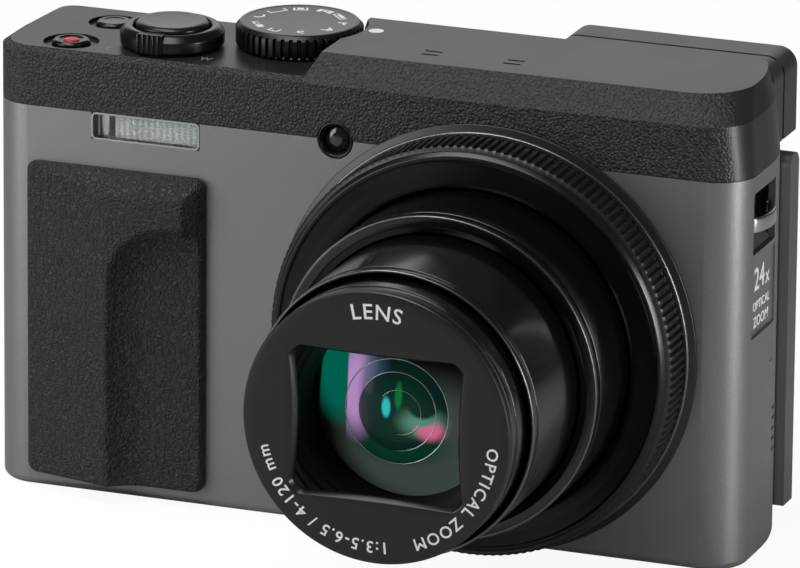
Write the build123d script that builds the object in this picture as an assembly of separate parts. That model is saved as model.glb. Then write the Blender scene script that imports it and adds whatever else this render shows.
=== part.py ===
from build123d import *

# Compact digital camera with an extending lens, modelled as separate pieces in millimetres.
# Frame: origin at the mouth of the tripod socket, +X towards the viewfinder end, the lens looks
# along -Y, +Z up. The camera stands on z = 0 with its lens run out to the working position.
import math
import os

os.makedirs("parts", exist_ok=True)

# ---- driving dimensions -------------------------------------------------------------------
# Casing
body_width = 110.2
front_y = -12.5
front_corner = 5.5
seam_y = 5.2
grip_back_y = 11.2
panel_back_y = 8.5
side_draft = 0.6
side_bend_y = -1.0
side_bend_radius = 25.0
base_round = 1.2
split_z = 55.54
shell_wall = 1.0
floor_wall = 1.6
rear_wall = 2.2
cover_gap = 0.1

# Top cover
bevel_low_z = 63.05
deck_z = 63.7
deck_bevel = 1.1
hump_z = 66.9
hump_bevel = 2.9
hump_foot_x = -9.25
hump_slope = 2.2
hump_lean = 0.8
hump_side_bevel = 1.2
hump_back_y = 9.2
deck_wall = 1.5

# Lens unit
lens_x = 18.5
lens_z = 29.62
guide_bore = 23.2
guide_wall = 1.0
guide_front_y = -18.5
guide_rear_y = 4.5
bezel_radius = 28.54
bezel_front_y = -20.68
ring_radius = 29.2
ring_teeth = 160
ring_depth = 5.9
tooth_depth = 0.45
flange_radius = 30.5
trim_radius = 29.54
barrel_length = 24.0
outer_radius = 22.88
outer_front_y = -32.06
middle_radius = 20.08
middle_front_y = -48.92
inner_radius = 19.0
inner_front_y = -55.35
outer_bore = 21.9
middle_wall = 0.78
inner_wall = 1.0
slide_gap = 0.3
window_width = 24.5
window_height = 20.5
window_pinch = 0.8
glass_radius = 13.0
blade_height = 5.55
blade_thick = 0.5
focus_radius = 8.2

# Top controls
dial_x = -15.15
dial_y = 2.9
dial_radius = 8.9
dial_teeth = 48
dial_top_z = 67.3
release_x = -31.65
release_y = -3.3
release_radius = 5.1
release_top_z = 67.2
lever_radius = 7.3
lever_top_z = 66.6
movie_x = -45.2
movie_y = -7.15
movie_radius = 2.65
power_x = -43.35
power_y = 4.0
power_radius = 2.5
turn_gap = 0.2

# Front and side details
grip_left = -49.55
grip_right = -22.85
grip_bottom = 2.2
grip_top = 47.7
grip_ridge_x = -36.05
grip_height = 4.6
flash_left = -40.0
flash_right = -23.9
flash_bottom = 51.6
lamp_x = -3.9
lamp_z = 55.4
lamp_radius = 2.65
lug_low_y = -7.7
lug_high_y = 1.9
lug_bottom = 44.3
lug_top = 53.0
bar_bottom = 47.3
bar_height = 2.2
bar_proud = 0.8
port_bottom = 18.0
port_top = 42.0
port_front_y = -6.5
port_rear_y = 0.5

# Screen and its two hinges
screen_left = -18.6
screen_right = 54.7
screen_bottom = 3.3
screen_top = 53.9
screen_front_y = 9.0
screen_thick = 3.7
arm_front_y = 7.6
arm_thick = 0.8
pocket_y = 7.0
low_hinge_z = 5.6
knuckle_x = (-2.0, 38.0)
knuckle_width = 7.4
pin_radius = 0.4
pin_gap = 0.04
stub_radius = 0.8

# Viewfinder
finder_left = 19.35
finder_right = 51.95
finder_back_y = 19.4
finder_top = 66.3
finder_bottom = 54.6
finder_window_width = 17.0
finder_window_height = 8.6

# Rear controls
wheel_x = -37.0
wheel_z = 24.0
wheel_radius = 9.5
menu_radius = 3.2
key_radius = 2.3
key_z = 41.0
play_x = -46.0
function_x = -28.0
key_proud = 0.6

# Power and storage
battery_width = 36.5
battery_depth = 10.5
battery_height = 42.5
battery_left = -49.5
battery_front_y = -10.5
holder_wall = 0.7
card_depth = 2.1
card_width = 24.0
card_height = 32.0
fit_gap = 0.2
thread_radius = 2.55
thread_depth = 5.5
socket_radius = 4.6

# ---- worked-out places --------------------------------------------------------------------
half_width = body_width / 2
body_height = split_z - cover_gap
guide_radius = guide_bore + guide_wall
outer_rear_y = outer_front_y + barrel_length
middle_rear_y = middle_front_y + barrel_length
inner_rear_y = inner_front_y + barrel_length
middle_bore = middle_radius - middle_wall
inner_bore = inner_radius - inner_wall
screen_back_y = screen_front_y + screen_thick
screen_half = screen_thick / 2
top_hinge_y = screen_front_y + screen_half
top_hinge_z = screen_top - screen_half
low_hinge_y = arm_front_y + arm_thick / 2
battery_right = battery_left + battery_width
battery_rear_y = battery_front_y + battery_depth
battery_bottom = floor_wall + 0.6
card_front_y = battery_rear_y + fit_gap + holder_wall + fit_gap
holder_front_y = battery_front_y - fit_gap - holder_wall + 0.1
holder_rear_y = card_front_y + card_depth + fit_gap + holder_wall


# ---- helpers ------------------------------------------------------------------------------
def block(x0, x1, y0, y1, z0, z1):
    """A box between two opposite corners."""
    return Pos((x0 + x1) / 2, (y0 + y1) / 2, (z0 + z1) / 2) * Box(x1 - x0, y1 - y0, z1 - z0)


def rod_x(y, z, radius, x0, x1):
    """A cylinder along X."""
    return Pos((x0 + x1) / 2, y, z) * Rot(0, 90, 0) * Cylinder(radius, x1 - x0)


def rod_y(x, z, radius, y0, y1):
    """A cylinder along Y."""
    return Pos(x, (y0 + y1) / 2, z) * Rot(90, 0, 0) * Cylinder(radius, y1 - y0)


def rod_z(x, y, radius, z0, z1):
    """A cylinder along Z."""
    return Pos(x, y, (z0 + z1) / 2) * Cylinder(radius, z1 - z0)


def lens_rod(radius, y0, y1):
    """A cylinder on the lens axis."""
    return rod_y(lens_x, lens_z, radius, y0, y1)


def lens_tube(outer, bore, y0, y1):
    """A plain tube on the lens axis."""
    return lens_rod(outer, y0, y1) - lens_rod(bore, y0 - 1, y1 + 1)


def lens_turned(points):
    """A solid of revolution about the lens axis, from (radius, y) points."""
    profile = make_face(Polyline(*[(r, y, 0) for r, y in points], close=True))
    turned = revolve(profile, Axis.Y, 360)
    return Pos(lens_x, 0, lens_z) * turned


def knurled(radius, depth, teeth):
    """A toothed outline: each tooth is a flat crest and a flat root."""
    points = []
    for i in range(teeth):
        for share, r in ((0.0, radius), (0.5, radius), (0.62, radius - depth), (0.88, radius - depth)):
            angle = 2 * math.pi * (i + share) / teeth
            points.append((r * math.cos(angle), r * math.sin(angle)))
    return make_face(Polyline(*points, close=True))


def right_bend(x, back_y, radius):
    """The right side's curve, which draws in from side_bend_y to the back."""
    centre_x = x - radius
    middle_y = (side_bend_y + back_y) / 2
    middle_x = centre_x + math.sqrt(radius ** 2 - (middle_y - side_bend_y) ** 2)
    end_x = centre_x + math.sqrt(radius ** 2 - (back_y - side_bend_y) ** 2)
    return ThreePointArc((x, side_bend_y), (middle_x, middle_y), (end_x, back_y))


def hump_plan(z, side_inset, front_inset, corner):
    """Plan of the raised deck's right end at a height."""
    x = half_width - side_inset
    f = front_y + front_inset
    side = right_bend(x, hump_back_y + 3, side_bend_radius)
    face = make_face([
        Line((-40, f), (x - corner, f)),
        RadiusArc((x - corner, f), (x, f + corner), -corner),
        Line((x, f + corner), (x, side_bend_y)),
        side,
        Line(side @ 1, (-40, hump_back_y + 3)),
        Line((-40, hump_back_y + 3), (-40, f)),
    ])
    return Pos(0, 0, z) * face


def body_plan(inset, back_y, back_corner=0.0):
    """Plan of the casing: rounded front corners and sides that draw in behind the middle."""
    w = half_width - inset
    f = front_y + inset
    r = front_corner - inset
    draw = side_draft
    edges = [
        Line((-w + draw, back_y - back_corner), (-w, 0)),
        Line((-w, 0), (-w, f + r)),
        RadiusArc((-w, f + r), (-w + r, f), -r),
        Line((-w + r, f), (w - r, f)),
        RadiusArc((w - r, f), (w, f + r), -r),
        Line((w, f + r), (w, side_bend_y)),
        right_bend(w, back_y, side_bend_radius - inset),
    ]
    right_back = edges[-1] @ 1
    if back_corner:
        edges.append(Line(right_back, (-w + draw + back_corner, back_y)))
        edges.append(
            RadiusArc((-w + draw + back_corner, back_y), (-w + draw, back_y - back_corner), -back_corner)
        )
    else:
        edges.append(Line(right_back, (-w + draw, back_y)))
    return make_face(edges)


def rounded_base(solid):
    """Rounds the casing's bottom edge where it meets the outside walls."""
    rim = [e for e in solid.edges().filter_by_position(Axis.Z, -0.01, 0.01)]
    return fillet(rim, base_round)


parts = {}

# ---- casing -------------------------------------------------------------------------------
back_corner = 3.5
case_outer = rounded_base(extrude(body_plan(0, grip_back_y, back_corner), split_z))
case_inner = Pos(0, 0, floor_wall) * extrude(body_plan(shell_wall, grip_back_y + 5), split_z)
split_x = screen_left - 0.4
rear_room = block(split_x, 80, panel_back_y, 80, -1, 80)

front_half = case_outer & block(-80, 80, -40, seam_y, -1, body_height)
front_cover = front_half - case_inner
lens_hole = lens_rod(guide_radius + 0.2, front_y - 5, -5)
front_cover -= lens_hole

flash_cut = block(flash_left, flash_right, front_y - 1, front_y + 3, flash_bottom, split_z + 1)
front_cover -= flash_cut
lamp_cut = rod_y(lamp_x, lamp_z, lamp_radius, front_y - 1, front_y + 3)
front_cover -= lamp_cut

for side in (-1, 1):
    outside = side * (half_width + 1)
    inside = side * (half_width - 3.4)
    low_x, high_x = sorted((outside, inside))
    front_cover -= block(low_x, high_x, lug_low_y, lug_high_y, lug_bottom, lug_top)

# Shallow label panel below the strap opening, and the sound slots, on the viewfinder side
label_bottom = 32.3
label_rear_y = 2.4
label_depth = 0.45
front_cover -= block(
    half_width - label_depth, half_width + 1, lug_low_y, label_rear_y, label_bottom, lug_bottom - 0.8
)
sound_y = 3.3
sound_slots = 5
sound_low_z = 13.5
sound_pitch = 1.5
for i in range(sound_slots):
    z = sound_low_z + i * sound_pitch
    front_cover -= block(half_width - 2.5, half_width + 1, sound_y - 0.8, sound_y + 0.8, z - 0.25, z + 0.25)

# Battery mouth, tripod hole and terminal mouth
mouth_left = battery_left - fit_gap
mouth_right = battery_right + fit_gap
mouth_front_y = battery_front_y - 0.4
mouth_rear_y = card_front_y + card_depth + 0.3
front_cover -= block(mouth_left, mouth_right, mouth_front_y, mouth_rear_y, -1, floor_wall + 0.5)
front_cover -= rod_z(0, 0, socket_radius + fit_gap / 2, -1, floor_wall + 1)
front_cover -= block(
    -half_width - 1, -half_width + 2, port_front_y, port_rear_y, port_bottom, port_top
)

# Pin holes of the two doors in the front cover
door_axis_y = mouth_front_y + fit_gap + floor_wall / 2
door_axis_z = floor_wall / 2
door_pin_reach = 1.6
door_pin = rod_x(
    door_axis_y, door_axis_z, pin_radius, mouth_left - door_pin_reach, mouth_right + door_pin_reach
)
front_cover -= door_pin
port_axis_x = -half_width + shell_wall / 2
port_axis_y = port_rear_y - fit_gap / 2 - shell_wall / 2
port_pin_radius = 0.25
port_pin = rod_z(
    port_axis_x, port_axis_y, port_pin_radius, port_bottom - door_pin_reach, port_top + door_pin_reach
)
front_cover -= port_pin

# Screw seats: one in the right side and two in the base
screw_head = 1.5
screw_shank = 0.7
screw_length = 4.0
screw_head_height = 0.35
screw_seat = 0.5
seat_clearance = 0.05
side_screw_y = 0.9
side_screw_z = 28.4
seat_x = half_width - screw_seat
front_cover -= rod_x(side_screw_y, side_screw_z, screw_head + seat_clearance, seat_x, half_width + 1)
front_cover -= rod_x(side_screw_y, side_screw_z, screw_shank, seat_x - screw_length, seat_x)
side_screw = rod_x(side_screw_y, side_screw_z, screw_head, seat_x, seat_x + screw_head_height)
side_screw += rod_x(side_screw_y, side_screw_z, screw_shank, seat_x - screw_length, seat_x)
screws = [side_screw]
base_screws = ((12.0, 2.0), (48.0, -6.0))
base_seat_z = 0.9
for x, y in base_screws:
    front_cover -= rod_z(x, y, screw_head + seat_clearance, -1, base_seat_z)
    front_cover -= rod_z(x, y, screw_shank, 0, floor_wall + 1)
    screw = rod_z(x, y, screw_head, base_seat_z - screw_head_height, base_seat_z)
    screws.append(screw + rod_z(x, y, screw_shank, base_seat_z, base_seat_z + screw_length))
parts["front_cover"] = front_cover

# Rear cover: deep over the grip, shallow behind the screen, with a pocket for the screen arm
rear_half = case_outer & block(-80, 80, seam_y + cover_gap, 40, -1, body_height)
rear_cover = rear_half - rear_room
grip_room = block(-80, split_x - shell_wall, -40, grip_back_y - rear_wall, floor_wall, 80)
panel_room = block(split_x - shell_wall - 1, 80, -40, pocket_y - 1.2, floor_wall, 80)
rear_cover -= case_inner & (grip_room + panel_room)
pocket_left = knuckle_x[0] - 13
pocket_right = knuckle_x[1] + 13
rear_cover -= block(pocket_left, pocket_right, pocket_y, 20, low_hinge_z - 1.4, screen_top - 0.5)

lug_block_width = 2.6
arm_gap = 0.2
hinge_pins = [door_pin, port_pin]
for x in knuckle_x:
    for side in (-1, 1):
        near = x + side * (knuckle_width / 2 + arm_gap)
        far = near + side * lug_block_width
        low_x, high_x = sorted((near, far))
        lug = rod_x(low_hinge_y, low_hinge_z, arm_thick, low_x, high_x)
        lug += block(low_x, high_x, pocket_y - 0.2, low_hinge_y, low_hinge_z - 0.8, low_hinge_z + 0.8)
        rear_cover += lug
    reach = knuckle_width / 2 + arm_gap + lug_block_width
    pin = rod_x(low_hinge_y, low_hinge_z, pin_radius, x - reach, x + reach)
    rear_cover -= pin
    hinge_pins.append(pin)

# Seats of the rear wheel and keys
wheel_floor_y = grip_back_y - 1.4
boss_radius = 4.1
rear_cover -= rod_y(wheel_x, wheel_z, wheel_radius + turn_gap, wheel_floor_y, grip_back_y + 1) - rod_y(
    wheel_x, wheel_z, boss_radius, wheel_floor_y, grip_back_y + 1
)
rear_cover -= rod_y(wheel_x, wheel_z, menu_radius + turn_gap / 2, 5, 20)
for x in (play_x, function_x):
    rear_cover -= rod_y(x, key_z, key_radius + turn_gap / 2, 5, 20)
parts["rear_cover"] = rear_cover
parts["case_screws"] = Compound(screws)
parts["hinge_pins"] = Compound(hinge_pins)

# Top cover: a low deck over the grip and a raised deck with a wide bevel over the lens
low_end_x = 30.0
low_plan = body_plan(0, grip_back_y, back_corner)
low_deck = Pos(0, 0, split_z) * extrude(low_plan, bevel_low_z - split_z)
low_rise = deck_z - bevel_low_z
low_taper = math.degrees(math.atan(deck_bevel / low_rise))
low_deck += Pos(0, 0, bevel_low_z) * extrude(low_plan, low_rise, taper=low_taper)
top_outer = low_deck & block(-80, low_end_x, -40, 40, 0, 90)
foot_plan = hump_plan(split_z, 0, 0, front_corner)
edge_plan = hump_plan(bevel_low_z, hump_lean, 0, front_corner + 0.5)
deck_plan = hump_plan(hump_z, hump_lean + hump_side_bevel, hump_bevel, front_corner + 2)
top_outer += loft([foot_plan, edge_plan], ruled=True) & block(low_end_x, 80, -40, 40, 0, 90)
top_outer -= block(hump_foot_x, 80, hump_back_y, 40, 0, 90)
hump = loft([edge_plan, deck_plan], ruled=True) & block(-80, 80, -40, hump_back_y, 0, 90)
slope_face = make_face(
    Polyline(
        (-80, bevel_low_z - 1),
        (hump_foot_x - hump_slope * 0.2, bevel_low_z - 1),
        (hump_foot_x + hump_slope, hump_z),
        (hump_foot_x + hump_slope, hump_z + 5),
        (-80, hump_z + 5),
        close=True,
    )
)
slope_cut = Pos(0, 60, 0) * Rot(90, 0, 0) * extrude(slope_face, 120)
hump -= slope_cut
dial_room = rod_z(dial_x, dial_y, dial_radius + 0.7, deck_z, 90)
hump -= dial_room
top_outer += hump

cavity_low = Pos(0, 0, split_z - 1) * extrude(
    body_plan(shell_wall + 0.2, hump_back_y - 1.2), deck_z - deck_wall - split_z + 1
)
cavity_high = block(12, half_width - 5, front_y + 5, hump_back_y - 1.2, split_z, hump_z - deck_wall)
top_cover = top_outer - cavity_low - cavity_high
top_cover -= lamp_cut
lever_hub = 4.6
top_cover -= rod_z(release_x, release_y, lever_hub + turn_gap, 50, 90)
dial_shaft = 3.0
top_cover -= rod_z(dial_x, dial_y, dial_shaft + turn_gap, 50, 90)
dish_depth = 0.5
for x, y, radius, dish in (
    (movie_x, movie_y, movie_radius, 3.9),
    (power_x, power_y, power_radius, 3.6),
):
    top_cover -= rod_z(x, y, radius + turn_gap / 2, 50, 90)
    top_cover -= rod_z(x, y, dish, deck_z - dish_depth, 90)
slot_length = 2.5
slot_width = 0.55
for x in (5.85, 17.85):
    for y in (-5.4, -3.7):
        top_cover -= block(x, x + slot_length, y - slot_width / 2, y + slot_width / 2, hump_z - 0.6, 90)
parts["top_cover"] = top_cover

# ---- grip pads ----------------------------------------------------------------------------
pad_edge = 0.8
scoop_height = 1.7
grip_profile = make_face(
    Polyline(
        (grip_left, front_y),
        (grip_left, front_y - pad_edge),
        (grip_ridge_x, front_y - grip_height),
        (grip_right - 2.2, front_y - grip_height + 0.5),
        (grip_right, front_y - pad_edge - 0.6),
        (grip_right, front_y),
        close=True,
    )
)
grip_pad = Pos(0, 0, grip_bottom) * extrude(grip_profile, grip_top - grip_bottom)
scoop_top = 40.6
scoop_round = 9.0
scoop = block(grip_ridge_x, 0, front_y - 20, front_y - scoop_height, 0, scoop_top)
corner_edge = [
    e
    for e in scoop.edges().filter_by(Axis.Y)
    if e.center().X < grip_ridge_x + 1 and e.center().Z > scoop_top - 1
]
scoop = fillet(corner_edge, scoop_round)
grip_pad -= scoop
top_bevel = make_face(
    Polyline(
        (front_y - grip_height - 1, grip_top - 3.4),
        (front_y - grip_height - 1, grip_top + 1),
        (front_y - pad_edge, grip_top + 1),
        (front_y - pad_edge, grip_top),
        close=True,
    )
)
grip_pad -= Pos(-80, 0, 0) * Rot(90, 0, 90) * extrude(top_bevel, 100)
parts["grip_pad"] = grip_pad

thumb_left = -51.0
thumb_right = -24.0
thumb_bottom = 46.5
thumb_top = 54.5
thumb_pad = block(thumb_left, thumb_right, grip_back_y, grip_back_y + 1.3, thumb_bottom, thumb_top)
thumb_pad = fillet(thumb_pad.edges().filter_by(Axis.Y), 2.0)
thumb_pad = chamfer(thumb_pad.faces().sort_by(Axis.Y)[-1].edges(), 0.7)
parts["thumb_pad"] = thumb_pad

# ---- flash and focus lamp -----------------------------------------------------------------
window_gap = 0.08
flash_window = block(
    flash_left + window_gap, flash_right - window_gap,
    front_y - 0.1, front_y + 1.2,
    flash_bottom + window_gap, split_z - cover_gap,
)
parts["flash_window"] = flash_window
reflector_back_y = front_y + 6.0
reflector = block(
    flash_left + 1.5, flash_right - 0.5, front_y + 1.3, reflector_back_y, flash_bottom, split_z - 0.4
)
flash_mid_z = (flash_bottom + split_z) / 2
trough = rod_x(front_y + 2.9, flash_mid_z, 1.5, flash_left + 2.2, flash_right - 1.2)
trough += block(
    flash_left + 2.2, flash_right - 1.2, front_y + 1, front_y + 2.9, flash_mid_z - 1.5, flash_mid_z + 1.5
)
parts["flash_reflector"] = reflector - trough
parts["flash_tube"] = rod_x(front_y + 3.0, flash_mid_z, 1.0, flash_left + 2.4, flash_right - 1.4)
parts["flash_capacitor"] = rod_x(1.6, 50.4, 3.6, -50.0, -24.0)
lamp_lens = rod_y(lamp_x, lamp_z, lamp_radius - 0.05, front_y + 0.5, front_y + 2.5)
lamp_lens += rod_y(lamp_x, lamp_z, 1.9, front_y - 0.1, front_y + 0.5)
parts["af_lamp_lens"] = lamp_lens

# ---- fixed lens unit ----------------------------------------------------------------------
ground = block(-200, 200, -200, 200, 0.05, 200)
flange_ring = lens_turned([
    (26.5, front_y), (flange_radius, front_y), (flange_radius, front_y - 0.5),
    (trim_radius, front_y - 0.7), (trim_radius, front_y - 1.1), (26.5, front_y - 1.1),
])
parts["lens_flange_ring"] = flange_ring & ground
ring_back_y = front_y - 1.3
ring_front_y = ring_back_y - ring_depth
ring_bore = 26.6
lens_bezel = lens_turned([
    (bezel_radius, ring_front_y - 0.25), (bezel_radius, bezel_front_y + 0.3),
    (bezel_radius - 0.3, bezel_front_y), (guide_radius + 1.2, bezel_front_y + 1.3),
    (guide_radius + 0.1, bezel_front_y + 1.6), (guide_radius + 0.1, front_y),
    (ring_bore - 0.25, front_y), (ring_bore - 0.25, ring_front_y - 0.25),
])
parts["lens_bezel"] = lens_bezel
parts["lens_guide_tube"] = lens_tube(guide_radius, guide_bore, guide_front_y, guide_rear_y)
sensor_plate_y = guide_rear_y + 0.1
parts["sensor_plate"] = lens_rod(guide_radius, sensor_plate_y, sensor_plate_y + 0.8)
sensor = block(lens_x - 4, lens_x + 4, sensor_plate_y - 1.2, sensor_plate_y, lens_z - 3.2, lens_z + 3.2)
parts["image_sensor"] = sensor
rod_reach = 7.0
guide_rod_radius = 0.5
guide_rods = [
    rod_y(lens_x + side * rod_reach, lens_z, guide_rod_radius, -3.2, sensor_plate_y) for side in (-1, 1)
]
parts["focus_rods"] = Compound(guide_rods)
motor_reach = 28.6
motor_x = lens_x - motor_reach * math.sin(math.radians(45))
motor_z = lens_z + motor_reach * math.cos(math.radians(45))
parts["zoom_motor"] = rod_y(motor_x, motor_z, 4.0, -6.0, 2.4) + rod_y(motor_x, motor_z, 0.8, -9.0, -6.0)

# ---- control ring -------------------------------------------------------------------------
ring_blank = extrude(knurled(ring_radius, tooth_depth, ring_teeth), ring_depth)
control_ring = Pos(lens_x, ring_back_y, lens_z) * Rot(90, 0, 0) * ring_blank
control_ring -= lens_rod(ring_bore, ring_front_y - 1, ring_back_y + 1)
parts["control_ring"] = control_ring

# ---- moving barrels -----------------------------------------------------------------------
lip_depth = 1.2
edge_break = 0.25
parts["barrel_outer"] = lens_turned([
    (outer_radius, outer_rear_y), (outer_radius, outer_front_y + edge_break),
    (outer_radius - edge_break, outer_front_y), (middle_radius + slide_gap, outer_front_y),
    (middle_radius + slide_gap, outer_front_y + lip_depth), (outer_bore, outer_front_y + lip_depth),
    (outer_bore, outer_rear_y),
])
flange_depth = 1.2
parts["barrel_middle"] = lens_turned([
    (outer_bore - slide_gap, middle_rear_y), (outer_bore - slide_gap, middle_rear_y - flange_depth),
    (middle_radius, middle_rear_y - flange_depth), (middle_radius, middle_front_y + edge_break),
    (middle_radius - edge_break, middle_front_y), (middle_bore, middle_front_y),
    (middle_bore, middle_rear_y),
])
name_ring_thick = 1.2
inner_tube_y = inner_front_y + name_ring_thick
parts["barrel_inner"] = lens_tube(inner_radius, inner_bore, inner_tube_y, inner_rear_y)

half_w = window_width / 2
half_h = window_height / 2
window_face = make_face([
    ThreePointArc((-half_w, -half_h), (0, -half_h + window_pinch / 2), (half_w, -half_h)),
    ThreePointArc((half_w, -half_h), (half_w - window_pinch, 0), (half_w, half_h)),
    ThreePointArc((half_w, half_h), (0, half_h - window_pinch / 2), (-half_w, half_h)),
    ThreePointArc((-half_w, half_h), (-half_w + window_pinch, 0), (-half_w, -half_h)),
])
window_face = fillet(window_face.vertices(), 2.6)
window_cut = Pos(lens_x, inner_tube_y + 1, lens_z) * Rot(90, 0, 0) * extrude(window_face, name_ring_thick + 2)
name_ring = lens_turned([
    (0, inner_tube_y), (inner_radius, inner_tube_y), (inner_radius, inner_front_y + edge_break),
    (inner_radius - edge_break, inner_front_y), (0, inner_front_y),
])
parts["name_ring"] = name_ring - window_cut

# Four barrier blades in two layers behind the name ring, drawn apart when the lens is open
blade_low = half_h + 0.2
blade_half_width = half_w + 0.5
blade_front_y = inner_tube_y + 0.2
layer_pitch = blade_thick + 0.1
blade_disc = lens_rod(inner_bore - 0.25, -80, 0)
for layer, layer_name in enumerate(("outer", "inner")):
    y0 = blade_front_y + layer * layer_pitch
    for side, side_name in ((1, "upper"), (-1, "lower")):
        low_z, high_z = sorted((lens_z + side * blade_low, lens_z + side * (blade_low + blade_height)))
        blade = block(
            lens_x - blade_half_width, lens_x + blade_half_width, y0, y0 + blade_thick, low_z, high_z
        )
        parts[f"barrier_blade_{side_name}_{layer_name}"] = blade & blade_disc

baffle_front_y = blade_front_y + 2 * layer_pitch + 0.15
baffle_depth = 9.6
baffle_mouth = 16.0
baffle_rear_y = baffle_front_y + baffle_depth
glass_rim = 0.4
glass_edge_y = baffle_rear_y - glass_rim
parts["front_baffle"] = lens_turned([
    (inner_bore, baffle_rear_y), (inner_bore, baffle_front_y), (baffle_mouth, baffle_front_y),
    (glass_radius + 1.0, glass_edge_y - 2.0), (glass_radius + 0.1, glass_edge_y - 1.0),
    (glass_radius + 0.1, baffle_rear_y),
])
glass_sag = 5.4
glass_dome_radius = (glass_radius ** 2 + glass_sag ** 2) / (2 * glass_sag)
glass_profile = make_face([
    Line((0, baffle_rear_y), (glass_radius, baffle_rear_y)),
    Line((glass_radius, baffle_rear_y), (glass_radius, glass_edge_y)),
    RadiusArc((glass_radius, glass_edge_y), (0, glass_edge_y - glass_sag), glass_dome_radius),
    Line((0, glass_edge_y - glass_sag), (0, baffle_rear_y)),
])
parts["front_lens"] = Pos(lens_x, 0, lens_z) * revolve(glass_profile, Axis.Y, 360)

# Zoom group and focus group behind the front group
carriage_radius = 16.6
carriage_front_y = -25.7
carriage_depth = 4.0
carriage_rear_y = carriage_front_y + carriage_depth
zoom_glass_radius = 6.0
parts["zoom_carriage"] = lens_tube(carriage_radius, zoom_glass_radius, carriage_front_y, carriage_rear_y)
parts["zoom_lens"] = lens_rod(zoom_glass_radius, carriage_front_y + 0.8, carriage_rear_y - 0.8)
focus_front_y = -1.5
focus_depth = 3.0
focus_glass_radius = 4.5
focus_carriage = lens_tube(focus_radius, focus_glass_radius, focus_front_y, focus_front_y + focus_depth)
for side in (-1, 1):
    focus_carriage -= rod_y(lens_x + side * rod_reach, lens_z, guide_rod_radius + 0.06, -10, 10)
parts["focus_carriage"] = focus_carriage
parts["focus_lens"] = lens_rod(focus_glass_radius, focus_front_y + 0.5, focus_front_y + focus_depth - 0.5)

# ---- top controls -------------------------------------------------------------------------
dial_foot_z = deck_z + 0.2
dial_bevel = 0.4
dial = extrude(knurled(dial_radius, 0.5, dial_teeth), dial_top_z - dial_bevel - dial_foot_z)
mode_dial = Pos(dial_x, dial_y, dial_foot_z) * dial
mode_dial += Pos(dial_x, dial_y, dial_top_z - dial_bevel / 2) * Cone(
    dial_radius - 0.5, dial_radius - 1.1, dial_bevel
)
mode_dial += rod_z(dial_x, dial_y, dial_shaft, deck_z - 3.5, dial_foot_z)
parts["mode_dial"] = mode_dial

lever_foot_z = deck_z + 0.3
lever_floor_z = lever_foot_z + 0.5
release_bore = release_radius + 0.3
stem_radius = 2.2
zoom_lever = rod_z(release_x, release_y, lever_radius, lever_foot_z, lever_top_z)
zoom_lever = chamfer(zoom_lever.faces().sort_by(Axis.Z)[-1].edges(), 0.5)
tab_left = release_x - 2.35
tab_right = release_x + 1.4
tab_front_y = -10.97
tab = block(tab_left, tab_right, tab_front_y, release_y - 6.2, lever_foot_z + 0.1, lever_top_z + 0.2)
zoom_lever += tab
zoom_lever -= rod_z(release_x, release_y, release_bore, lever_floor_z, 90)
zoom_lever += rod_z(release_x, release_y, lever_hub, deck_z - 3.0, lever_foot_z)
zoom_lever -= rod_z(release_x, release_y, stem_radius + turn_gap, 50, 90)
parts["zoom_lever"] = zoom_lever
release_foot_z = release_top_z - 1.5
release = rod_z(release_x, release_y, release_radius, release_foot_z, release_top_z)
release = fillet(release.faces().sort_by(Axis.Z)[-1].edges(), 0.4)
parts["shutter_button"] = release + rod_z(release_x, release_y, stem_radius, deck_z - 4.0, release_foot_z)
for name, x, y, radius, proud in (
    ("movie_button", movie_x, movie_y, movie_radius, 0.35),
    ("power_button", power_x, power_y, power_radius, 0.3),
):
    cap = rod_z(x, y, radius, deck_z - 3.0, deck_z + proud)
    parts[name] = fillet(cap.faces().sort_by(Axis.Z)[-1].edges(), 0.35)

# ---- rear controls ------------------------------------------------------------------------
wheel_blank = extrude(knurled(wheel_radius, 0.35, 60), 1.9)
wheel = Pos(wheel_x, wheel_floor_y + 0.2 + 1.9, wheel_z) * Rot(90, 0, 0) * wheel_blank
wheel -= rod_y(wheel_x, wheel_z, boss_radius + 0.1, 5, 20)
parts["rear_dial"] = wheel
key_front_y = grip_back_y - rear_wall - 0.8
menu = rod_y(wheel_x, wheel_z, menu_radius, key_front_y, grip_back_y + key_proud)
parts["menu_button"] = chamfer(menu.faces().sort_by(Axis.Y)[-1].edges(), 0.3)
for name, x in (("play_button", play_x), ("function_button", function_x)):
    key = rod_y(x, key_z, key_radius, key_front_y, grip_back_y + key_proud)
    parts[name] = chamfer(key.faces().sort_by(Axis.Y)[-1].edges(), 0.3)

# ---- tilting screen -----------------------------------------------------------------------
screen = block(screen_left, screen_right, screen_front_y, screen_back_y, screen_bottom, top_hinge_z)
screen += rod_x(top_hinge_y, top_hinge_z, screen_half, screen_left, screen_right)
glass_margin = 2.0
glass_thick = 0.7
glass_top = top_hinge_z - 3.2
glass_box = (screen_left + glass_margin, screen_right - glass_margin, screen_bottom + glass_margin, glass_top)
screen -= block(glass_box[0], glass_box[1], screen_back_y - glass_thick - 0.05, 30, glass_box[2], glass_box[3])
notch_depth = 2.0
for x in knuckle_x:
    notch_half = knuckle_width / 2 + arm_gap
    screen -= block(x - notch_half, x + notch_half, 0, 30, top_hinge_z - notch_depth, 80)
    reach = notch_half + 2.0
    screen -= rod_x(top_hinge_y, top_hinge_z, stub_radius + pin_gap, x - reach, x + reach)
parts["screen_frame"] = screen
parts["screen_glass"] = block(
    glass_box[0] + 0.1, glass_box[1] - 0.1,
    screen_back_y - glass_thick, screen_back_y - 0.05,
    glass_box[2] + 0.1, glass_box[3] - 0.1,
)
arm_left = pocket_left + 0.6
arm_right = pocket_right - 0.6
arm_rear_y = arm_front_y + arm_thick
arm_foot_z = low_hinge_z + 1.3
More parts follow.
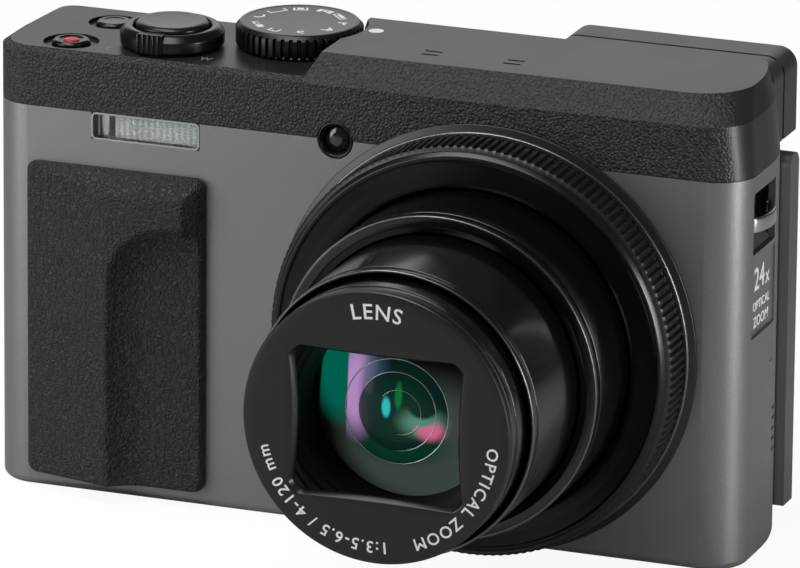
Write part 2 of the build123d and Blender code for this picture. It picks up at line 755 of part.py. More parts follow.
arm = block(arm_left, arm_right, arm_front_y, arm_rear_y, arm_foot_z, top_hinge_z + 0.6)
arm -= block(arm_left + 8, arm_right - 8, 0, 20, arm_foot_z + 9, top_hinge_z - 10)
ear_half = 0.6
barrel = 1.2
for x in knuckle_x:
    low_x = x - knuckle_width / 2
    high_x = x + knuckle_width / 2
    arm += rod_x(low_hinge_y, low_hinge_z, arm_thick, low_x, high_x)
    arm += block(low_x, high_x, arm_front_y, arm_rear_y, low_hinge_z, arm_foot_z)
    arm -= rod_x(low_hinge_y, low_hinge_z, pin_radius + pin_gap, low_x, high_x)
    arm += block(low_x, high_x, arm_front_y, top_hinge_y, top_hinge_z - ear_half, top_hinge_z + ear_half)
    arm += rod_x(top_hinge_y, top_hinge_z, barrel, low_x, high_x)
    arm += rod_x(top_hinge_y, top_hinge_z, stub_radius, low_x - 2.0, high_x + 2.0)
parts["screen_arm"] = arm

# ---- viewfinder ---------------------------------------------------------------------------
finder_front_y = hump_back_y + 0.1
finder = block(finder_left, finder_right, finder_front_y, finder_back_y, finder_bottom, finder_top)
finder = fillet(
    [e for e in finder.edges().filter_by(Axis.Y) if e.center().Z > finder_top - 1], 2.6
)
undercut_y = 12.0
undercut_rise = 2.4
undercut = make_face(
    Polyline(
        (undercut_y, finder_bottom - 1),
        (undercut_y, finder_bottom),
        (finder_back_y + 1, finder_bottom + undercut_rise),
        (finder_back_y + 1, finder_bottom - 1),
        close=True,
    )
)
finder -= Rot(90, 0, 90) * extrude(undercut, 80)
groove_y = 13.4
groove_width = 0.6
groove_depth = 0.5
finder -= block(
    finder_left - 1, finder_right + 1, groove_y, groove_y + groove_width, finder_top - groove_depth, 90
)
finder -= block(
    finder_right - groove_depth, finder_right + 1, groove_y, groove_y + groove_width, finder_bottom - 1, 90
)
finder_mid_x = (finder_left + finder_right) / 2
finder_mid_z = 61.2
room_left = finder_left + 4.0
finder -= block(room_left, finder_right - 2, 0, finder_back_y - 3.0, finder_bottom + 2.0, finder_top - 1.6)
window_block = block(
    finder_mid_x - finder_window_width / 2, finder_mid_x + finder_window_width / 2,
    finder_back_y - 4, finder_back_y + 1,
    finder_mid_z - finder_window_height / 2, finder_mid_z + finder_window_height / 2,
)
window_block = fillet(window_block.edges().filter_by(Axis.Y), 2.0)
finder -= window_block
diopter_y = 14.5
diopter_z = 60.6
diopter_radius = 2.9
finder -= rod_x(diopter_y, diopter_z, diopter_radius + 0.3, finder_left - 1, finder_left + 1.6)
finder -= rod_x(diopter_y, diopter_z, stub_radius + pin_gap, finder_left, finder_left + 5)
parts["finder_frame"] = finder
eyepiece = block(
    finder_mid_x - finder_window_width / 2 + 0.15, finder_mid_x + finder_window_width / 2 - 0.15,
    finder_back_y - 2.9, finder_back_y - 1.2,
    finder_mid_z - finder_window_height / 2 + 0.15, finder_mid_z + finder_window_height / 2 - 0.15,
)
parts["finder_eyepiece"] = fillet(eyepiece.edges().filter_by(Axis.Y), 1.9)
diopter_blank = extrude(knurled(diopter_radius, 0.25, 24), 2.0)
diopter = Pos(finder_left - 0.6, diopter_y, diopter_z) * Rot(0, 90, 0) * diopter_blank
diopter += rod_x(diopter_y, diopter_z, stub_radius, finder_left + 1.4, finder_left + 3.8)
parts["diopter_dial"] = diopter

# ---- strap lugs ---------------------------------------------------------------------------
lugs = []
for side in (-1, 1):
    inner_x = side * (half_width - 3.3)
    cup_x = side * (half_width - 2.7)
    low_x, high_x = sorted((inner_x, cup_x))
    cup = block(low_x, high_x, lug_low_y + 0.1, lug_high_y - 0.1, lug_bottom + 0.1, lug_top - 0.1)
    low_x, high_x = sorted((cup_x, side * (half_width + bar_proud)))
    bar = block(low_x, high_x, lug_low_y + 0.1, lug_high_y - 0.1, bar_bottom, bar_bottom + bar_height)
    low_x, high_x = sorted((cup_x, side * (half_width - 0.9)))
    bar -= block(low_x, high_x, lug_low_y + 1.6, lug_high_y - 1.6, bar_bottom - 1, bar_bottom + bar_height + 1)
    lugs.append(cup + bar)
parts["strap_lugs"] = Compound(lugs)

# ---- power, card and terminals ------------------------------------------------------------
holder_top = battery_bottom + battery_height + 1.2
holder = block(
    battery_left - fit_gap - holder_wall, battery_right + fit_gap + holder_wall,
    holder_front_y, holder_rear_y, floor_wall + 0.1, holder_top,
)
holder -= block(
    battery_left - fit_gap, battery_right + fit_gap,
    battery_front_y - fit_gap + 0.05, battery_rear_y + fit_gap, 0, battery_bottom + battery_height + 0.3,
)
card_left = battery_right - card_width - 4.0
holder -= block(
    card_left - fit_gap, card_left + card_width + fit_gap,
    card_front_y - fit_gap / 2, card_front_y + card_depth + fit_gap / 2,
    0, battery_bottom + card_height + 0.3,
)
parts["battery_holder"] = holder
parts["battery"] = block(
    battery_left, battery_right, battery_front_y, battery_rear_y, battery_bottom, battery_bottom + battery_height
)
card = block(
    card_left, card_left + card_width, card_front_y, card_front_y + card_depth,
    battery_bottom, battery_bottom + card_height,
)
parts["memory_card"] = chamfer(
    [e for e in card.edges().filter_by(Axis.Y) if e.center().X < card_left + 1 and e.center().Z > 20], 3.0
)

door_gap = 0.15
door_left = mouth_left + door_gap
door_right = mouth_right - door_gap
door_front_y = door_axis_y
door_rear_y = mouth_rear_y - door_gap
door = block(door_left, door_right, door_front_y, door_rear_y, 0, floor_wall)
door += rod_x(door_axis_y, door_axis_z, floor_wall / 2, door_left, door_right)
door -= rod_x(door_axis_y, door_axis_z, pin_radius + pin_gap, door_left, door_right)
latch_x = -24.0
latch_y = -1.5
latch_length = 8.0
latch_width = 3.4
latch_travel = 2.0
latch_depth = 0.9
door -= block(
    latch_x - latch_length / 2 - 0.2, latch_x + latch_length / 2 + latch_travel + 0.2,
    latch_y - latch_width / 2 - 0.2, latch_y + latch_width / 2 + 0.2, -1, latch_depth,
)
parts["battery_door"] = door
parts["door_latch"] = block(
    latch_x - latch_length / 2, latch_x + latch_length / 2,
    latch_y - latch_width / 2, latch_y + latch_width / 2, 0.15, latch_depth - 0.1,
)

port_gap = 0.15
port_door = block(
    -half_width, -half_width + shell_wall, port_front_y + port_gap, port_axis_y,
    port_bottom + port_gap, port_top - port_gap,
)
port_door += rod_z(port_axis_x, port_axis_y, shell_wall / 2, port_bottom + port_gap, port_top - port_gap)
port_door -= rod_z(port_axis_x, port_axis_y, port_pin_radius + pin_gap, port_bottom, port_top)
parts["terminal_door"] = port_door
port_inset = 0.4
port_depth = 3.1
port_shell = 0.4
port_end_wall = 0.8
port_low_y = -5.0
port_high_y = -1.8
port_face_x = -half_width + shell_wall + port_inset
port_end_x = port_face_x + port_depth
sockets = []
for z, height in ((23.5, 7.4), (34.5, 6.4)):
    shell = block(port_face_x, port_end_x, port_low_y, port_high_y, z - height / 2, z + height / 2)
    shell -= block(
        port_face_x - 1.0, port_end_x - port_end_wall, port_low_y + port_shell, port_high_y - port_shell,
        z - height / 2 + port_shell, z + height / 2 - port_shell,
    )
    sockets.append(shell)
parts["terminal_sockets"] = Compound(sockets)

# ---- inner structure ----------------------------------------------------------------------
socket = rod_z(0, 0, socket_radius, 0, thread_depth + 1.0) - rod_z(0, 0, thread_radius, -1, thread_depth)
parts["tripod_socket"] = socket
frame_left = battery_right + fit_gap + holder_wall + 0.3
chassis = block(frame_left, half_width - 2.5, front_y + 2.5, guide_rear_y, floor_wall + 0.2, floor_wall + 1.0)
chassis += block(frame_left, frame_left + 0.8, front_y + 2.5, 2.6, floor_wall + 0.2, split_z - 2)
chassis -= rod_z(0, 0, socket_radius + 0.2, 0, 10)
for x, y in base_screws:
    chassis -= rod_z(x, y, screw_shank, 0, 10)
parts["chassis_frame"] = chassis
board_y = 3.0
board = block(frame_left + 1.2, half_width - 2.5, board_y, board_y + 1.0, 3.0, split_z - 1.5)
board -= lens_rod(guide_radius + 0.6, -10, 20)
board -= rod_z(0, 0, socket_radius + 0.4, 0, thread_depth + 1.4)
for x, z, w, h in ((48.0, 40.0, 7.0, 9.0), (48.0, 15.0, 7.0, 7.0), (-4.0, 9.0, 6.0, 5.0)):
    board += block(x - w / 2, x + w / 2, board_y - 1.2, board_y, z - h / 2, z + h / 2)
parts["main_board"] = board

for name, shape in parts.items():
    export_step(shape, f"parts/{name}.step")
print(len(parts), "nodes")
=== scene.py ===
import math
import bmesh
import bpy
import numpy as np
from mathutils import Matrix, Vector


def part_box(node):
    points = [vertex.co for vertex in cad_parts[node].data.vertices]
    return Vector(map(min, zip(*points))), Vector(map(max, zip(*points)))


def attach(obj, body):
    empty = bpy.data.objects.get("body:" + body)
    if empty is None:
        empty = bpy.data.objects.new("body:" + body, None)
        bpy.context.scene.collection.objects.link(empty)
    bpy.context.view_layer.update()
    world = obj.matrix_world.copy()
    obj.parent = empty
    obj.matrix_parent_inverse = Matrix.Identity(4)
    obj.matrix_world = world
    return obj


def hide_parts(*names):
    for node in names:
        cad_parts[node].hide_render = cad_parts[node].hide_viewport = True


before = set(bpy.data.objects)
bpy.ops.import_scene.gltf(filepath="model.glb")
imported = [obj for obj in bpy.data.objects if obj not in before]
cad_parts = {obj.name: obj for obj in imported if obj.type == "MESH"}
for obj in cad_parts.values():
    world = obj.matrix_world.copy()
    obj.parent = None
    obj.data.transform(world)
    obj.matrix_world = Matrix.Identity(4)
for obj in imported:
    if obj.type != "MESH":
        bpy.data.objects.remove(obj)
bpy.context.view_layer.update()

print("frame loaded", len(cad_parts), "nodes")


# places on the frame, in millimetres
def lowOf(node):
    return np.array(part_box(node)[0]) * 1000


def highOf(node):
    return np.array(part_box(node)[1]) * 1000


def midOf(node):
    return (lowOf(node) + highOf(node)) / 2


lensMid = midOf("barrel_inner")
lensX, lensZ = lensMid[0], lensMid[2]
frontY = highOf("lens_flange_ring")[1]
deckZ = highOf("movie_button")[2] - 0.35
humpZ = highOf("top_cover")[2]


# surfaces
def rounded(profile, radius, steps=4, closed=True):
    # each corner becomes a quadratic curve between two points set back along its edges by the radius
    p = np.array(profile, float)
    r = np.broadcast_to(np.array(radius, float), (len(p),))
    before, after = np.roll(p, 1, 0), np.roll(p, -1, 0)
    a, b = before - p, after - p
    la, lb = np.linalg.norm(a, axis=1), np.linalg.norm(b, axis=1)
    cut = np.minimum(r, 0.45 * np.minimum(la, lb))[:, None]
    s = p + a / np.maximum(la, 1e-9)[:, None] * cut
    e = p + b / np.maximum(lb, 1e-9)[:, None] * cut
    k = np.linspace(0, 1, steps)[None, :, None]
    arcs = (1 - k) ** 2 * s[:, None] + 2 * k * (1 - k) * p[:, None] + k ** 2 * e[:, None]
    if closed:
        return arcs.reshape(-1, 2)
    return np.concatenate([p[:1], arcs[1:-1].reshape(-1, 2), p[-1:]])


def gridFaces(nu, nv, wrapU, wrapV):
    # one quad for each cell of a grid of nu by nv points; the last row joins the first where it wraps
    iu = np.arange(nu if wrapU else nu - 1)
    iv = np.arange(nv if wrapV else nv - 1)
    u, v = np.meshgrid(iu, iv, indexing="ij")
    u2, v2 = (u + 1) % nu, (v + 1) % nv
    return np.stack([u * nv + v, u2 * nv + v, u2 * nv + v2, u * nv + v2], -1).reshape(-1, 4)


def surface(points, wrapU=False, wrapV=False):
    nu, nv = points.shape[:2]
    return points.reshape(-1, 3), gridFaces(nu, nv, wrapU, wrapV)


def turned(profile, centre, axis, segments=192, closed=True, teeth=0, depth=0.0, toothed=None, crest=0.5):
    # a profile of (radius, height) carried round the y or z axis; toothed points lose depth between crests
    p = np.array(profile, float)
    perTooth = 8
    if teeth:
        segments = teeth * perTooth
    t = 2 * np.pi * np.arange(segments) / segments
    r = np.repeat(p[None, :, 0], segments, 0)
    if teeth:
        share = (np.arange(segments) % perTooth) / perTooth
        root = np.clip(np.minimum((share - crest) / 0.12, (1 - share) / 0.12), 0, 1)
        r = r - depth * root[:, None] * np.array(toothed, float)[None, :]
    h = np.repeat(p[None, :, 1], segments, 0)
    c, s = np.cos(t)[:, None], np.sin(t)[:, None]
    if axis == "y":
        pts = np.stack([centre[0] + r * c, h, centre[2] + r * s], -1)
    else:
        pts = np.stack([centre[0] + r * c, centre[1] + r * s, h], -1)
    return surface(pts, True, closed)


def outlineOf(width, height, radius, steps=7):
    # a rounded rectangle about the middle, as points run round counter-clockwise
    w, h = width / 2, height / 2
    return rounded([(-w, -h), (w, -h), (w, h), (-w, h)], radius, steps)


def plate(outline, profile, place):
    # an outline moved out along its normals by each profile offset, at that profile's height; both ends close
    # on the middle of the outline. place turns (x, y, height) into a point
    o = np.array(outline, float)
    tangent = np.roll(o, -1, 0) - np.roll(o, 1, 0)
    normal = np.stack([tangent[:, 1], -tangent[:, 0]], -1)
    normal /= np.maximum(np.linalg.norm(normal, axis=1), 1e-9)[:, None]
    rings = [o + normal * off for off, _ in profile]
    middle = o.mean(0)
    rings = [np.repeat(middle[None], len(o), 0)] + rings + [np.repeat(middle[None], len(o), 0)]
    heights = [profile[0][1]] + [h for _, h in profile] + [profile[-1][1]]
    xy = np.stack(rings)
    h = np.repeat(np.array(heights)[:, None], len(o), 1)
    return surface(place(xy[..., 0], xy[..., 1], h), False, True)


def onTop(x, y):
    return lambda u, v, h: np.stack([x + u, y + v, h], -1)


def onFront(x, z):
    return lambda u, v, h: np.stack([x + u, -h, z + v], -1)


def onBack(x, z):
    return lambda u, v, h: np.stack([x - u, h, z + v], -1)


def addPiece(name, chunks, body, materials, replaces=(), sharp=32, flip=True):
    # chunks are (points in mm, faces) or (points, faces, material number); they become one piece on one body
    mesh = bpy.data.meshes.new(name)
    points, faces, slots, base = [], [], [], 0
    for chunk in chunks:
        p, f = chunk[0], chunk[1]
        points.append(np.asarray(p, float).reshape(-1, 3) * 0.001)
        faces.extend([[int(i) + base for i in q] for q in f])
        slots.extend([chunk[2] if len(chunk) > 2 else 0] * len(f))
        base += len(points[-1])
    mesh.from_pydata(np.concatenate(points).tolist(), [], faces)
    mesh.polygons.foreach_set("material_index", slots)
    work = bmesh.new()
    work.from_mesh(mesh)
    bmesh.ops.remove_doubles(work, verts=work.verts, dist=2e-7)
    bmesh.ops.dissolve_degenerate(work, edges=work.edges, dist=1e-8)
    if flip:
        bmesh.ops.recalc_face_normals(work, faces=work.faces)
    work.to_mesh(mesh)
    work.free()
    mesh.shade_smooth()
    mesh.set_sharp_from_angle(angle=math.radians(sharp))
    for m in (materials if isinstance(materials, (list, tuple)) else [materials]):
        mesh.materials.append(m)
    piece = bpy.data.objects.new(name, mesh)
    bpy.context.scene.collection.objects.link(piece)
    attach(piece, body)
    if replaces:
        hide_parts(*replaces)
    return piece


def letters(text, size, spacing=1.0, bold=0.0):
    # thin text as (points, faces) about its middle, in millimetres
    curve = bpy.data.curves.new("letters", "FONT")
    curve.body = text
    curve.size = size
    curve.space_character = spacing
    curve.offset = bold
    curve.extrude = 0.01
    curve.align_x = "CENTER"
    curve.align_y = "CENTER"
    curve.resolution_u = 3
    holder = bpy.data.objects.new("letters", curve)
    bpy.context.scene.collection.objects.link(holder)
    flat = bpy.data.meshes.new_from_object(holder.evaluated_get(bpy.context.evaluated_depsgraph_get()))
    points = np.zeros(len(flat.vertices) * 3)
    flat.vertices.foreach_get("co", points)
    faces = [list(p.vertices) for p in flat.polygons]
    bpy.data.objects.remove(holder)
    bpy.data.curves.remove(curve)
    bpy.data.meshes.remove(flat)
    return points.reshape(-1, 3), faces


# shader groups and nodes that the finishes share
def newGroup(name, inputs, outputs):
    group = bpy.data.node_groups.new(name, "ShaderNodeTree")
    for label, kind, value in inputs:
        socket = group.interface.new_socket(label, in_out="INPUT", socket_type="NodeSocket" + kind)
        socket.default_value = value
    for label, kind in outputs:
        group.interface.new_socket(label, in_out="OUTPUT", socket_type="NodeSocket" + kind)
    return group, group.nodes.new("NodeGroupInput"), group.nodes.new("NodeGroupOutput")


def addNode(tree, kind, inputs=None, **settings):
    # a node with its attributes set; each input is linked where it is given a socket, or else set
    node = tree.nodes.new("ShaderNode" + kind)
    for key, value in settings.items():
        setattr(node, key, value)
    for key, value in (inputs or {}).items():
        if isinstance(value, bpy.types.NodeSocket):
            tree.links.new(value, node.inputs[key])
        else:
            node.inputs[key].default_value = value
    return node


def mathNode(tree, operation, a, b, clamp=False):
    return addNode(tree, "Math", {0: a, 1: b}, operation=operation, use_clamp=clamp).outputs[0]


def vectorNode(tree, operation, a, b):
    second = "Scale" if operation == "SCALE" else 1
    return addNode(tree, "VectorMath", {0: a, second: b}, operation=operation).outputs[0]


def objectPoint(tree):
    return addNode(tree, "TexCoord").outputs["Object"]


def ramp(tree, value, low, high):
    # a smooth rise from 0 at low to 1 at high
    ends = {"Value": value, "From Min": low, "From Max": high}
    return addNode(tree, "MapRange", ends, interpolation_type="SMOOTHSTEP").outputs[0]


def mixColor(tree, share, first, second):
    # a colour between two colours or colour outputs
    return addNode(tree, "Mix", {"Factor": share, 6: first, 7: second}, data_type="RGBA").outputs[2]


def makeToneGroup():
    # multiplies a colour by soft and fine noise
    group, gin, gout = newGroup(
        "toneDrift",
        [("Color", "Color", (0.5, 0.5, 0.5, 1)), ("Scale", "Float", 40.0), ("Amount", "Float", 0.1),
         ("Fine Scale", "Float", 4000.0), ("Fine Amount", "Float", 0.05)],
        [("Color", "Color")])
    point = objectPoint(group)
    total = 1.0
    for scale, amount in (("Scale", "Amount"), ("Fine Scale", "Fine Amount")):
        noise = addNode(group, "TexNoise", {"Vector": point, "Scale": gin.outputs[scale], "Detail": 2})
        centred = mathNode(group, "SUBTRACT", noise.outputs[0], 0.5)
        part = mathNode(group, "MULTIPLY", centred, gin.outputs[amount])
        total = mathNode(group, "ADD", mathNode(group, "MULTIPLY", part, 2.0), total)
    group.links.new(vectorNode(group, "SCALE", gin.outputs["Color"], total), gout.inputs[0])
    return group


def makeGrainGroup():
    # height of a moulded grain: rounded bumps with a finer noise over them
    group, gin, gout = newGroup("mouldedGrain", [("Scale", "Float", 2500.0), ("Softness", "Float", 0.5)],
                                [("Height", "Float")])
    point, scale = objectPoint(group), gin.outputs["Scale"]
    inputs = {"Vector": point, "Scale": scale, "Smoothness": gin.outputs["Softness"]}
    cells = addNode(group, "TexVoronoi", inputs, feature="SMOOTH_F1")
    noise = addNode(group, "TexNoise", {"Vector": point, "Scale": scale, "Detail": 3})
    cell = mathNode(group, "SUBTRACT", 1.0, cells.outputs["Distance"])
    height = mathNode(group, "ADD", cell, mathNode(group, "MULTIPLY", noise.outputs[0], 0.6))
    group.links.new(height, gout.inputs["Height"])
    return group


def makeHideGroup():
    # leather grain: pebbles parted by creases, bent by a slow noise
    group, gin, gout = newGroup("hideGrain", [("Scale", "Float", 1100.0), ("Bend", "Float", 0.0006)],
                                [("Height", "Float"), ("Crease", "Float")])
    point = objectPoint(group)
    drift = addNode(group, "TexNoise", {"Vector": point, "Scale": 900, "Detail": 2})
    centre = vectorNode(group, "SUBTRACT", drift.outputs["Color"], (0.5, 0.5, 0.5))
    place = vectorNode(group, "ADD", point, vectorNode(group, "SCALE", centre, gin.outputs["Bend"]))
    fineScale = mathNode(group, "MULTIPLY", gin.outputs["Scale"], 2.3)
    edges = []
    for scale, width in ((gin.outputs["Scale"], 0.16), (fineScale, 0.2)):
        cells = addNode(group, "TexVoronoi", {"Vector": place, "Scale": scale}, feature="DISTANCE_TO_EDGE")
        edges.append(ramp(group, cells.outputs["Distance"], 0.0, width))
    height = mathNode(group, "ADD", edges[0], mathNode(group, "MULTIPLY", edges[1], 0.35))
    group.links.new(height, gout.inputs["Height"])
    group.links.new(mathNode(group, "SUBTRACT", 1.0, edges[0], clamp=True), gout.inputs["Crease"])
    return group


def makeGlossGroup():
    # roughness that drifts a little over the surface
    group, gin, gout = newGroup(
        "glossDrift", [("Level", "Float", 0.4), ("Spread", "Float", 0.05), ("Scale", "Float", 120.0)],
        [("Roughness", "Float")])
    point, scale = objectPoint(group), gin.outputs["Scale"]
    noise = addNode(group, "TexNoise", {"Vector": point, "Scale": scale, "Detail": 4})
    centred = mathNode(group, "SUBTRACT", noise.outputs[0], 0.5)
    part = mathNode(group, "MULTIPLY", mathNode(group, "MULTIPLY", centred, gin.outputs["Spread"]), 2.0)
    group.links.new(mathNode(group, "ADD", part, gin.outputs["Level"]), gout.inputs[0])
    return group


toneGroup = makeToneGroup()
grainGroup = makeGrainGroup()
hideGroup = makeHideGroup()
glossGroup = makeGlossGroup()


def linear(code):
    # a hex colour as linear values
    c = np.array([int(code[i:i + 2], 16) for i in (0, 2, 4)]) / 255
    c = np.where(c <= 0.04045, c / 12.92, ((c + 0.055) / 1.055) ** 2.4)
    return (*[float(v) for v in c], 1.0)


def placeGroup(tree, group, **values):
    # in a name, a _ stands for a space
    inputs = {key.replace("_", " "): value for key, value in values.items()}
    return addNode(tree, "Group", inputs, node_tree=group)


def newMaterial(name, **values):
    # the values go on the shader, and in a name a _ stands for a space
    mat = bpy.data.materials.new(name)
    mat.use_nodes = True
    shader = mat.node_tree.nodes["Principled BSDF"]
    for key, value in values.items():
        shader.inputs[key.replace("_", " ")].default_value = value
    return mat, mat.node_tree, shader


def addGloss(tree, shader, level, spread):
    gloss = placeGroup(tree, glossGroup, Level=level, Spread=spread)
    tree.links.new(gloss.outputs[0], shader.inputs["Roughness"])


def addRelief(tree, shader, height, strength, distance):
    relief = addNode(tree, "Bump", {"Height": height, "Strength": strength, "Distance": distance})
    tree.links.new(relief.outputs[0], shader.inputs["Normal"])


fineRelief = 0.00005


def finish(name, color, metallic=0.0, roughness=0.4, spread=0.03, tone=0.05, toneScale=60.0, fine=0.03,
           fineScale=3500.0, grain=None, bump=0.0, coat=0.0, coatRoughness=0.1):
    # a plain finish: tone drift on the colour, gloss drift, and an optional moulded grain
    mat, tree, shader = newMaterial(name, Metallic=metallic, IOR=1.5, Coat_Weight=coat,
                                    Coat_Roughness=coatRoughness)
    toned = placeGroup(tree, toneGroup, Color=linear(color), Scale=toneScale, Amount=tone,
                       Fine_Scale=fineScale, Fine_Amount=fine)
    tree.links.new(toned.outputs[0], shader.inputs["Base Color"])
    addGloss(tree, shader, roughness, spread)
    if grain:
        addRelief(tree, shader, placeGroup(tree, grainGroup, Scale=grain).outputs["Height"], bump, fineRelief)
    return mat


# finishes
silverPaint = finish("silverPaint", "8a8a8b", metallic=0.82, roughness=0.40, tone=0.03, fine=0.22,
                     fineScale=5200, grain=4200, bump=0.16)
satinDeck = finish("satinDeck", "2c2c2d", roughness=0.40, fine=0.06, grain=6000, bump=0.12)
satinBlack = finish("satinBlack", "161617", roughness=0.34, fine=0.05, grain=7000, bump=0.06)
lensBlack = finish("lensBlack", "0c0c0d", roughness=0.26, coat=0.35, coatRoughness=0.16, tone=0.04)
darkMatte = finish("darkMatte", "080808", roughness=0.65, grain=5000, bump=0.2)
rubberBlack = finish("rubberBlack", "1d1d1e", roughness=0.62, grain=3200, bump=0.3)
brightMetal = finish("brightMetal", "b9babc", metallic=1.0, roughness=0.24, fine=0.03, grain=6000, bump=0.05)
spunBlack = finish("spunBlack", "2b2b2d", metallic=0.75, roughness=0.28)
whiteInk = finish("whiteInk", "e8e8e8", roughness=0.55, fine=0.02)
redInk = finish("redInk", "b8161b", roughness=0.4, fine=0.02)
greyInk = finish("greyInk", "8c8c8d", roughness=0.5, fine=0.02)
steel = finish("steel", "8d8f92", metallic=1.0, roughness=0.32, fine=0.05)
boardGreen = finish("boardGreen", "17402a", roughness=0.45, tone=0.15)
batteryShell = finish("batteryShell", "23252a", roughness=0.5)
cardShell = finish("cardShell", "27364f", roughness=0.45)
screenGloss = finish("screenGloss", "050506", roughness=0.07, spread=0.01, tone=0.02, fine=0.0, coat=0.5,
                     coatRoughness=0.03)
sensorGloss = finish("sensorGloss", "14203a", metallic=0.4, roughness=0.15)
sleeveWhite = finish("sleeveWhite", "c9ccd0", metallic=0.9, roughness=0.2)

ringBlack = finish("ringBlack", "151516", roughness=0.36, fine=0.05, grain=6000, bump=0.05)
bezelBlack = finish("bezelBlack", "141415", metallic=0.3, roughness=0.27, fine=0.04, grain=8000, bump=0.04)
barrelBlack = finish("barrelBlack", "09090a", metallic=0.25, roughness=0.2, coat=0.5, coatRoughness=0.12,
                     tone=0.03)
nameBlack = finish("nameBlack", "131314", roughness=0.33, fine=0.05, grain=7000, bump=0.05)
edgeMetal = finish("edgeMetal", "6e6f72", metallic=0.9, roughness=0.25, fine=0.02)
rimMetal = finish("rimMetal", "aab4b2", metallic=0.8, roughness=0.3, fine=0.02)
dialBlack = finish("dialBlack", "171718", metallic=0.35, roughness=0.3, fine=0.05, grain=8000, bump=0.04)
leverBlack = finish("leverBlack", "131314", metallic=0.3, roughness=0.26, fine=0.04, grain=8000, bump=0.03)
rimPlastic = finish("rimPlastic", "a9acae", metallic=0.5, roughness=0.18)
diffuserWhite = finish("diffuserWhite", "f6f8f7", roughness=0.25, tone=0.12, toneScale=300.0)
trayGrey = finish("trayGrey", "6c6c6d", metallic=0.6, roughness=0.35)


def facing(tree):
    # the x, y and z of the surface's own direction
    return addNode(tree, "SeparateXYZ", {0: addNode(tree, "NewGeometry").outputs["Normal"]}).outputs


# the pit colour is a painted shade for the crinkle's hollows, and the crest colour a painted highlight for
# its tops
coverSpec = dict(paintedPitShade="121213", crest="303031", satin="1e1e1f", grain=2700.0, relief=0.00022)


def makeCoverSkin():
    # crinkled on the front and its bevels, satin on the deck and the viewfinder side
    mat, tree, shader = newMaterial("coverSkin")
    x, _, z = facing(tree)
    smooth = mathNode(tree, "MAXIMUM", ramp(tree, z, 0.86, 0.95), ramp(tree, x, 0.4, 0.75))
    crinkled = mathNode(tree, "SUBTRACT", 1.0, smooth)
    grain = placeGroup(tree, grainGroup, Scale=coverSpec["grain"]).outputs["Height"]
    # the grain's hollows are painted darker and its tops lighter: painted shade and painted highlight that
    # follow its height
    rise = ramp(tree, grain, 0.7, 1.15)
    crinkleShadeAndHighlight = mixColor(tree, rise, linear(coverSpec["paintedPitShade"]), linear(coverSpec["crest"]))
    satin = placeGroup(tree, toneGroup, Color=linear(coverSpec["satin"]), Fine_Amount=0.08)
    tree.links.new(mixColor(tree, smooth, crinkleShadeAndHighlight, satin.outputs[0]), shader.inputs["Base Color"])
    gloss = placeGroup(tree, glossGroup, Level=0.38, Spread=0.03)
    rough = mathNode(tree, "ADD", gloss.outputs[0], mathNode(tree, "MULTIPLY", crinkled, 0.14))
    tree.links.new(rough, shader.inputs["Roughness"])
    addRelief(tree, shader, mathNode(tree, "MULTIPLY", grain, crinkled), 0.9, coverSpec["relief"])
    return mat


def makeTwoTone(name, sideColor, sideMetal, backColor, backMetal=0.0):
    # one colour on the sides and another on the faces that look back
    mat, tree, shader = newMaterial(name)
    back = ramp(tree, facing(tree)[1], 0.55, 0.75)
    side = placeGroup(tree, toneGroup, Color=linear(sideColor), Fine_Scale=5200.0, Fine_Amount=0.12)
    rear = placeGroup(tree, toneGroup, Color=linear(backColor), Fine_Scale=4000.0, Fine_Amount=0.08)
    tree.links.new(mixColor(tree, back, side.outputs[0], rear.outputs[0]), shader.inputs["Base Color"])
    metal = mathNode(tree, "ADD", mathNode(tree, "MULTIPLY", back, backMetal - sideMetal), sideMetal)
    tree.links.new(metal, shader.inputs["Metallic"])
    addGloss(tree, shader, 0.42, 0.04)
    addRelief(tree, shader, placeGroup(tree, grainGroup, Scale=4200.0).outputs["Height"], 0.14, fineRelief)
    return mat


def clearGlass(name, color, roughness=0.02):
    return newMaterial(name, Base_Color=linear(color), Roughness=roughness, Transmission_Weight=1.0,
                       IOR=1.45)[0]


def makeHide():
    # leatherette: creases a little lighter than the pebbles, which stand up as relief
    mat, tree, shader = newMaterial("hide")
    grain = placeGroup(tree, hideGroup, Scale=1150.0, Bend=0.0009)
    toned = placeGroup(tree, toneGroup, Color=linear("212122"), Scale=150.0, Amount=0.12, Fine_Amount=0.1)
    share = mathNode(tree, "MULTIPLY", grain.outputs["Crease"], 0.35)
    tree.links.new(mixColor(tree, share, toned.outputs[0], linear("353536")), shader.inputs["Base Color"])
    addGloss(tree, shader, 0.5, 0.08)
    addRelief(tree, shader, grain.outputs["Height"], 1.0, 0.00022)
    return mat


coverSkin = makeCoverSkin()
rearShell = makeTwoTone("rearShell", "9a9a9b", 0.82, "1a1a1b")
screenShell = makeTwoTone("screenShell", "6c6c6e", 0.7, "101011")
clearPlastic = clearGlass("clearPlastic", "f4f6f8", 0.04)
lensGlass = clearGlass("lensGlass", "e6f4f0")
lampPlastic = finish("lampPlastic", "1c1b1b", roughness=0.1, coat=0.6)
hide = makeHide()
frontSpec = dict(edgeY=-43.4, sag=5.4,
                 rings=[(7.35, 0.0, 0.0, 0.09), (5.5, 0.35, 0.25, 0.07), (3.1, 0.8, 0.3, 0.04)])


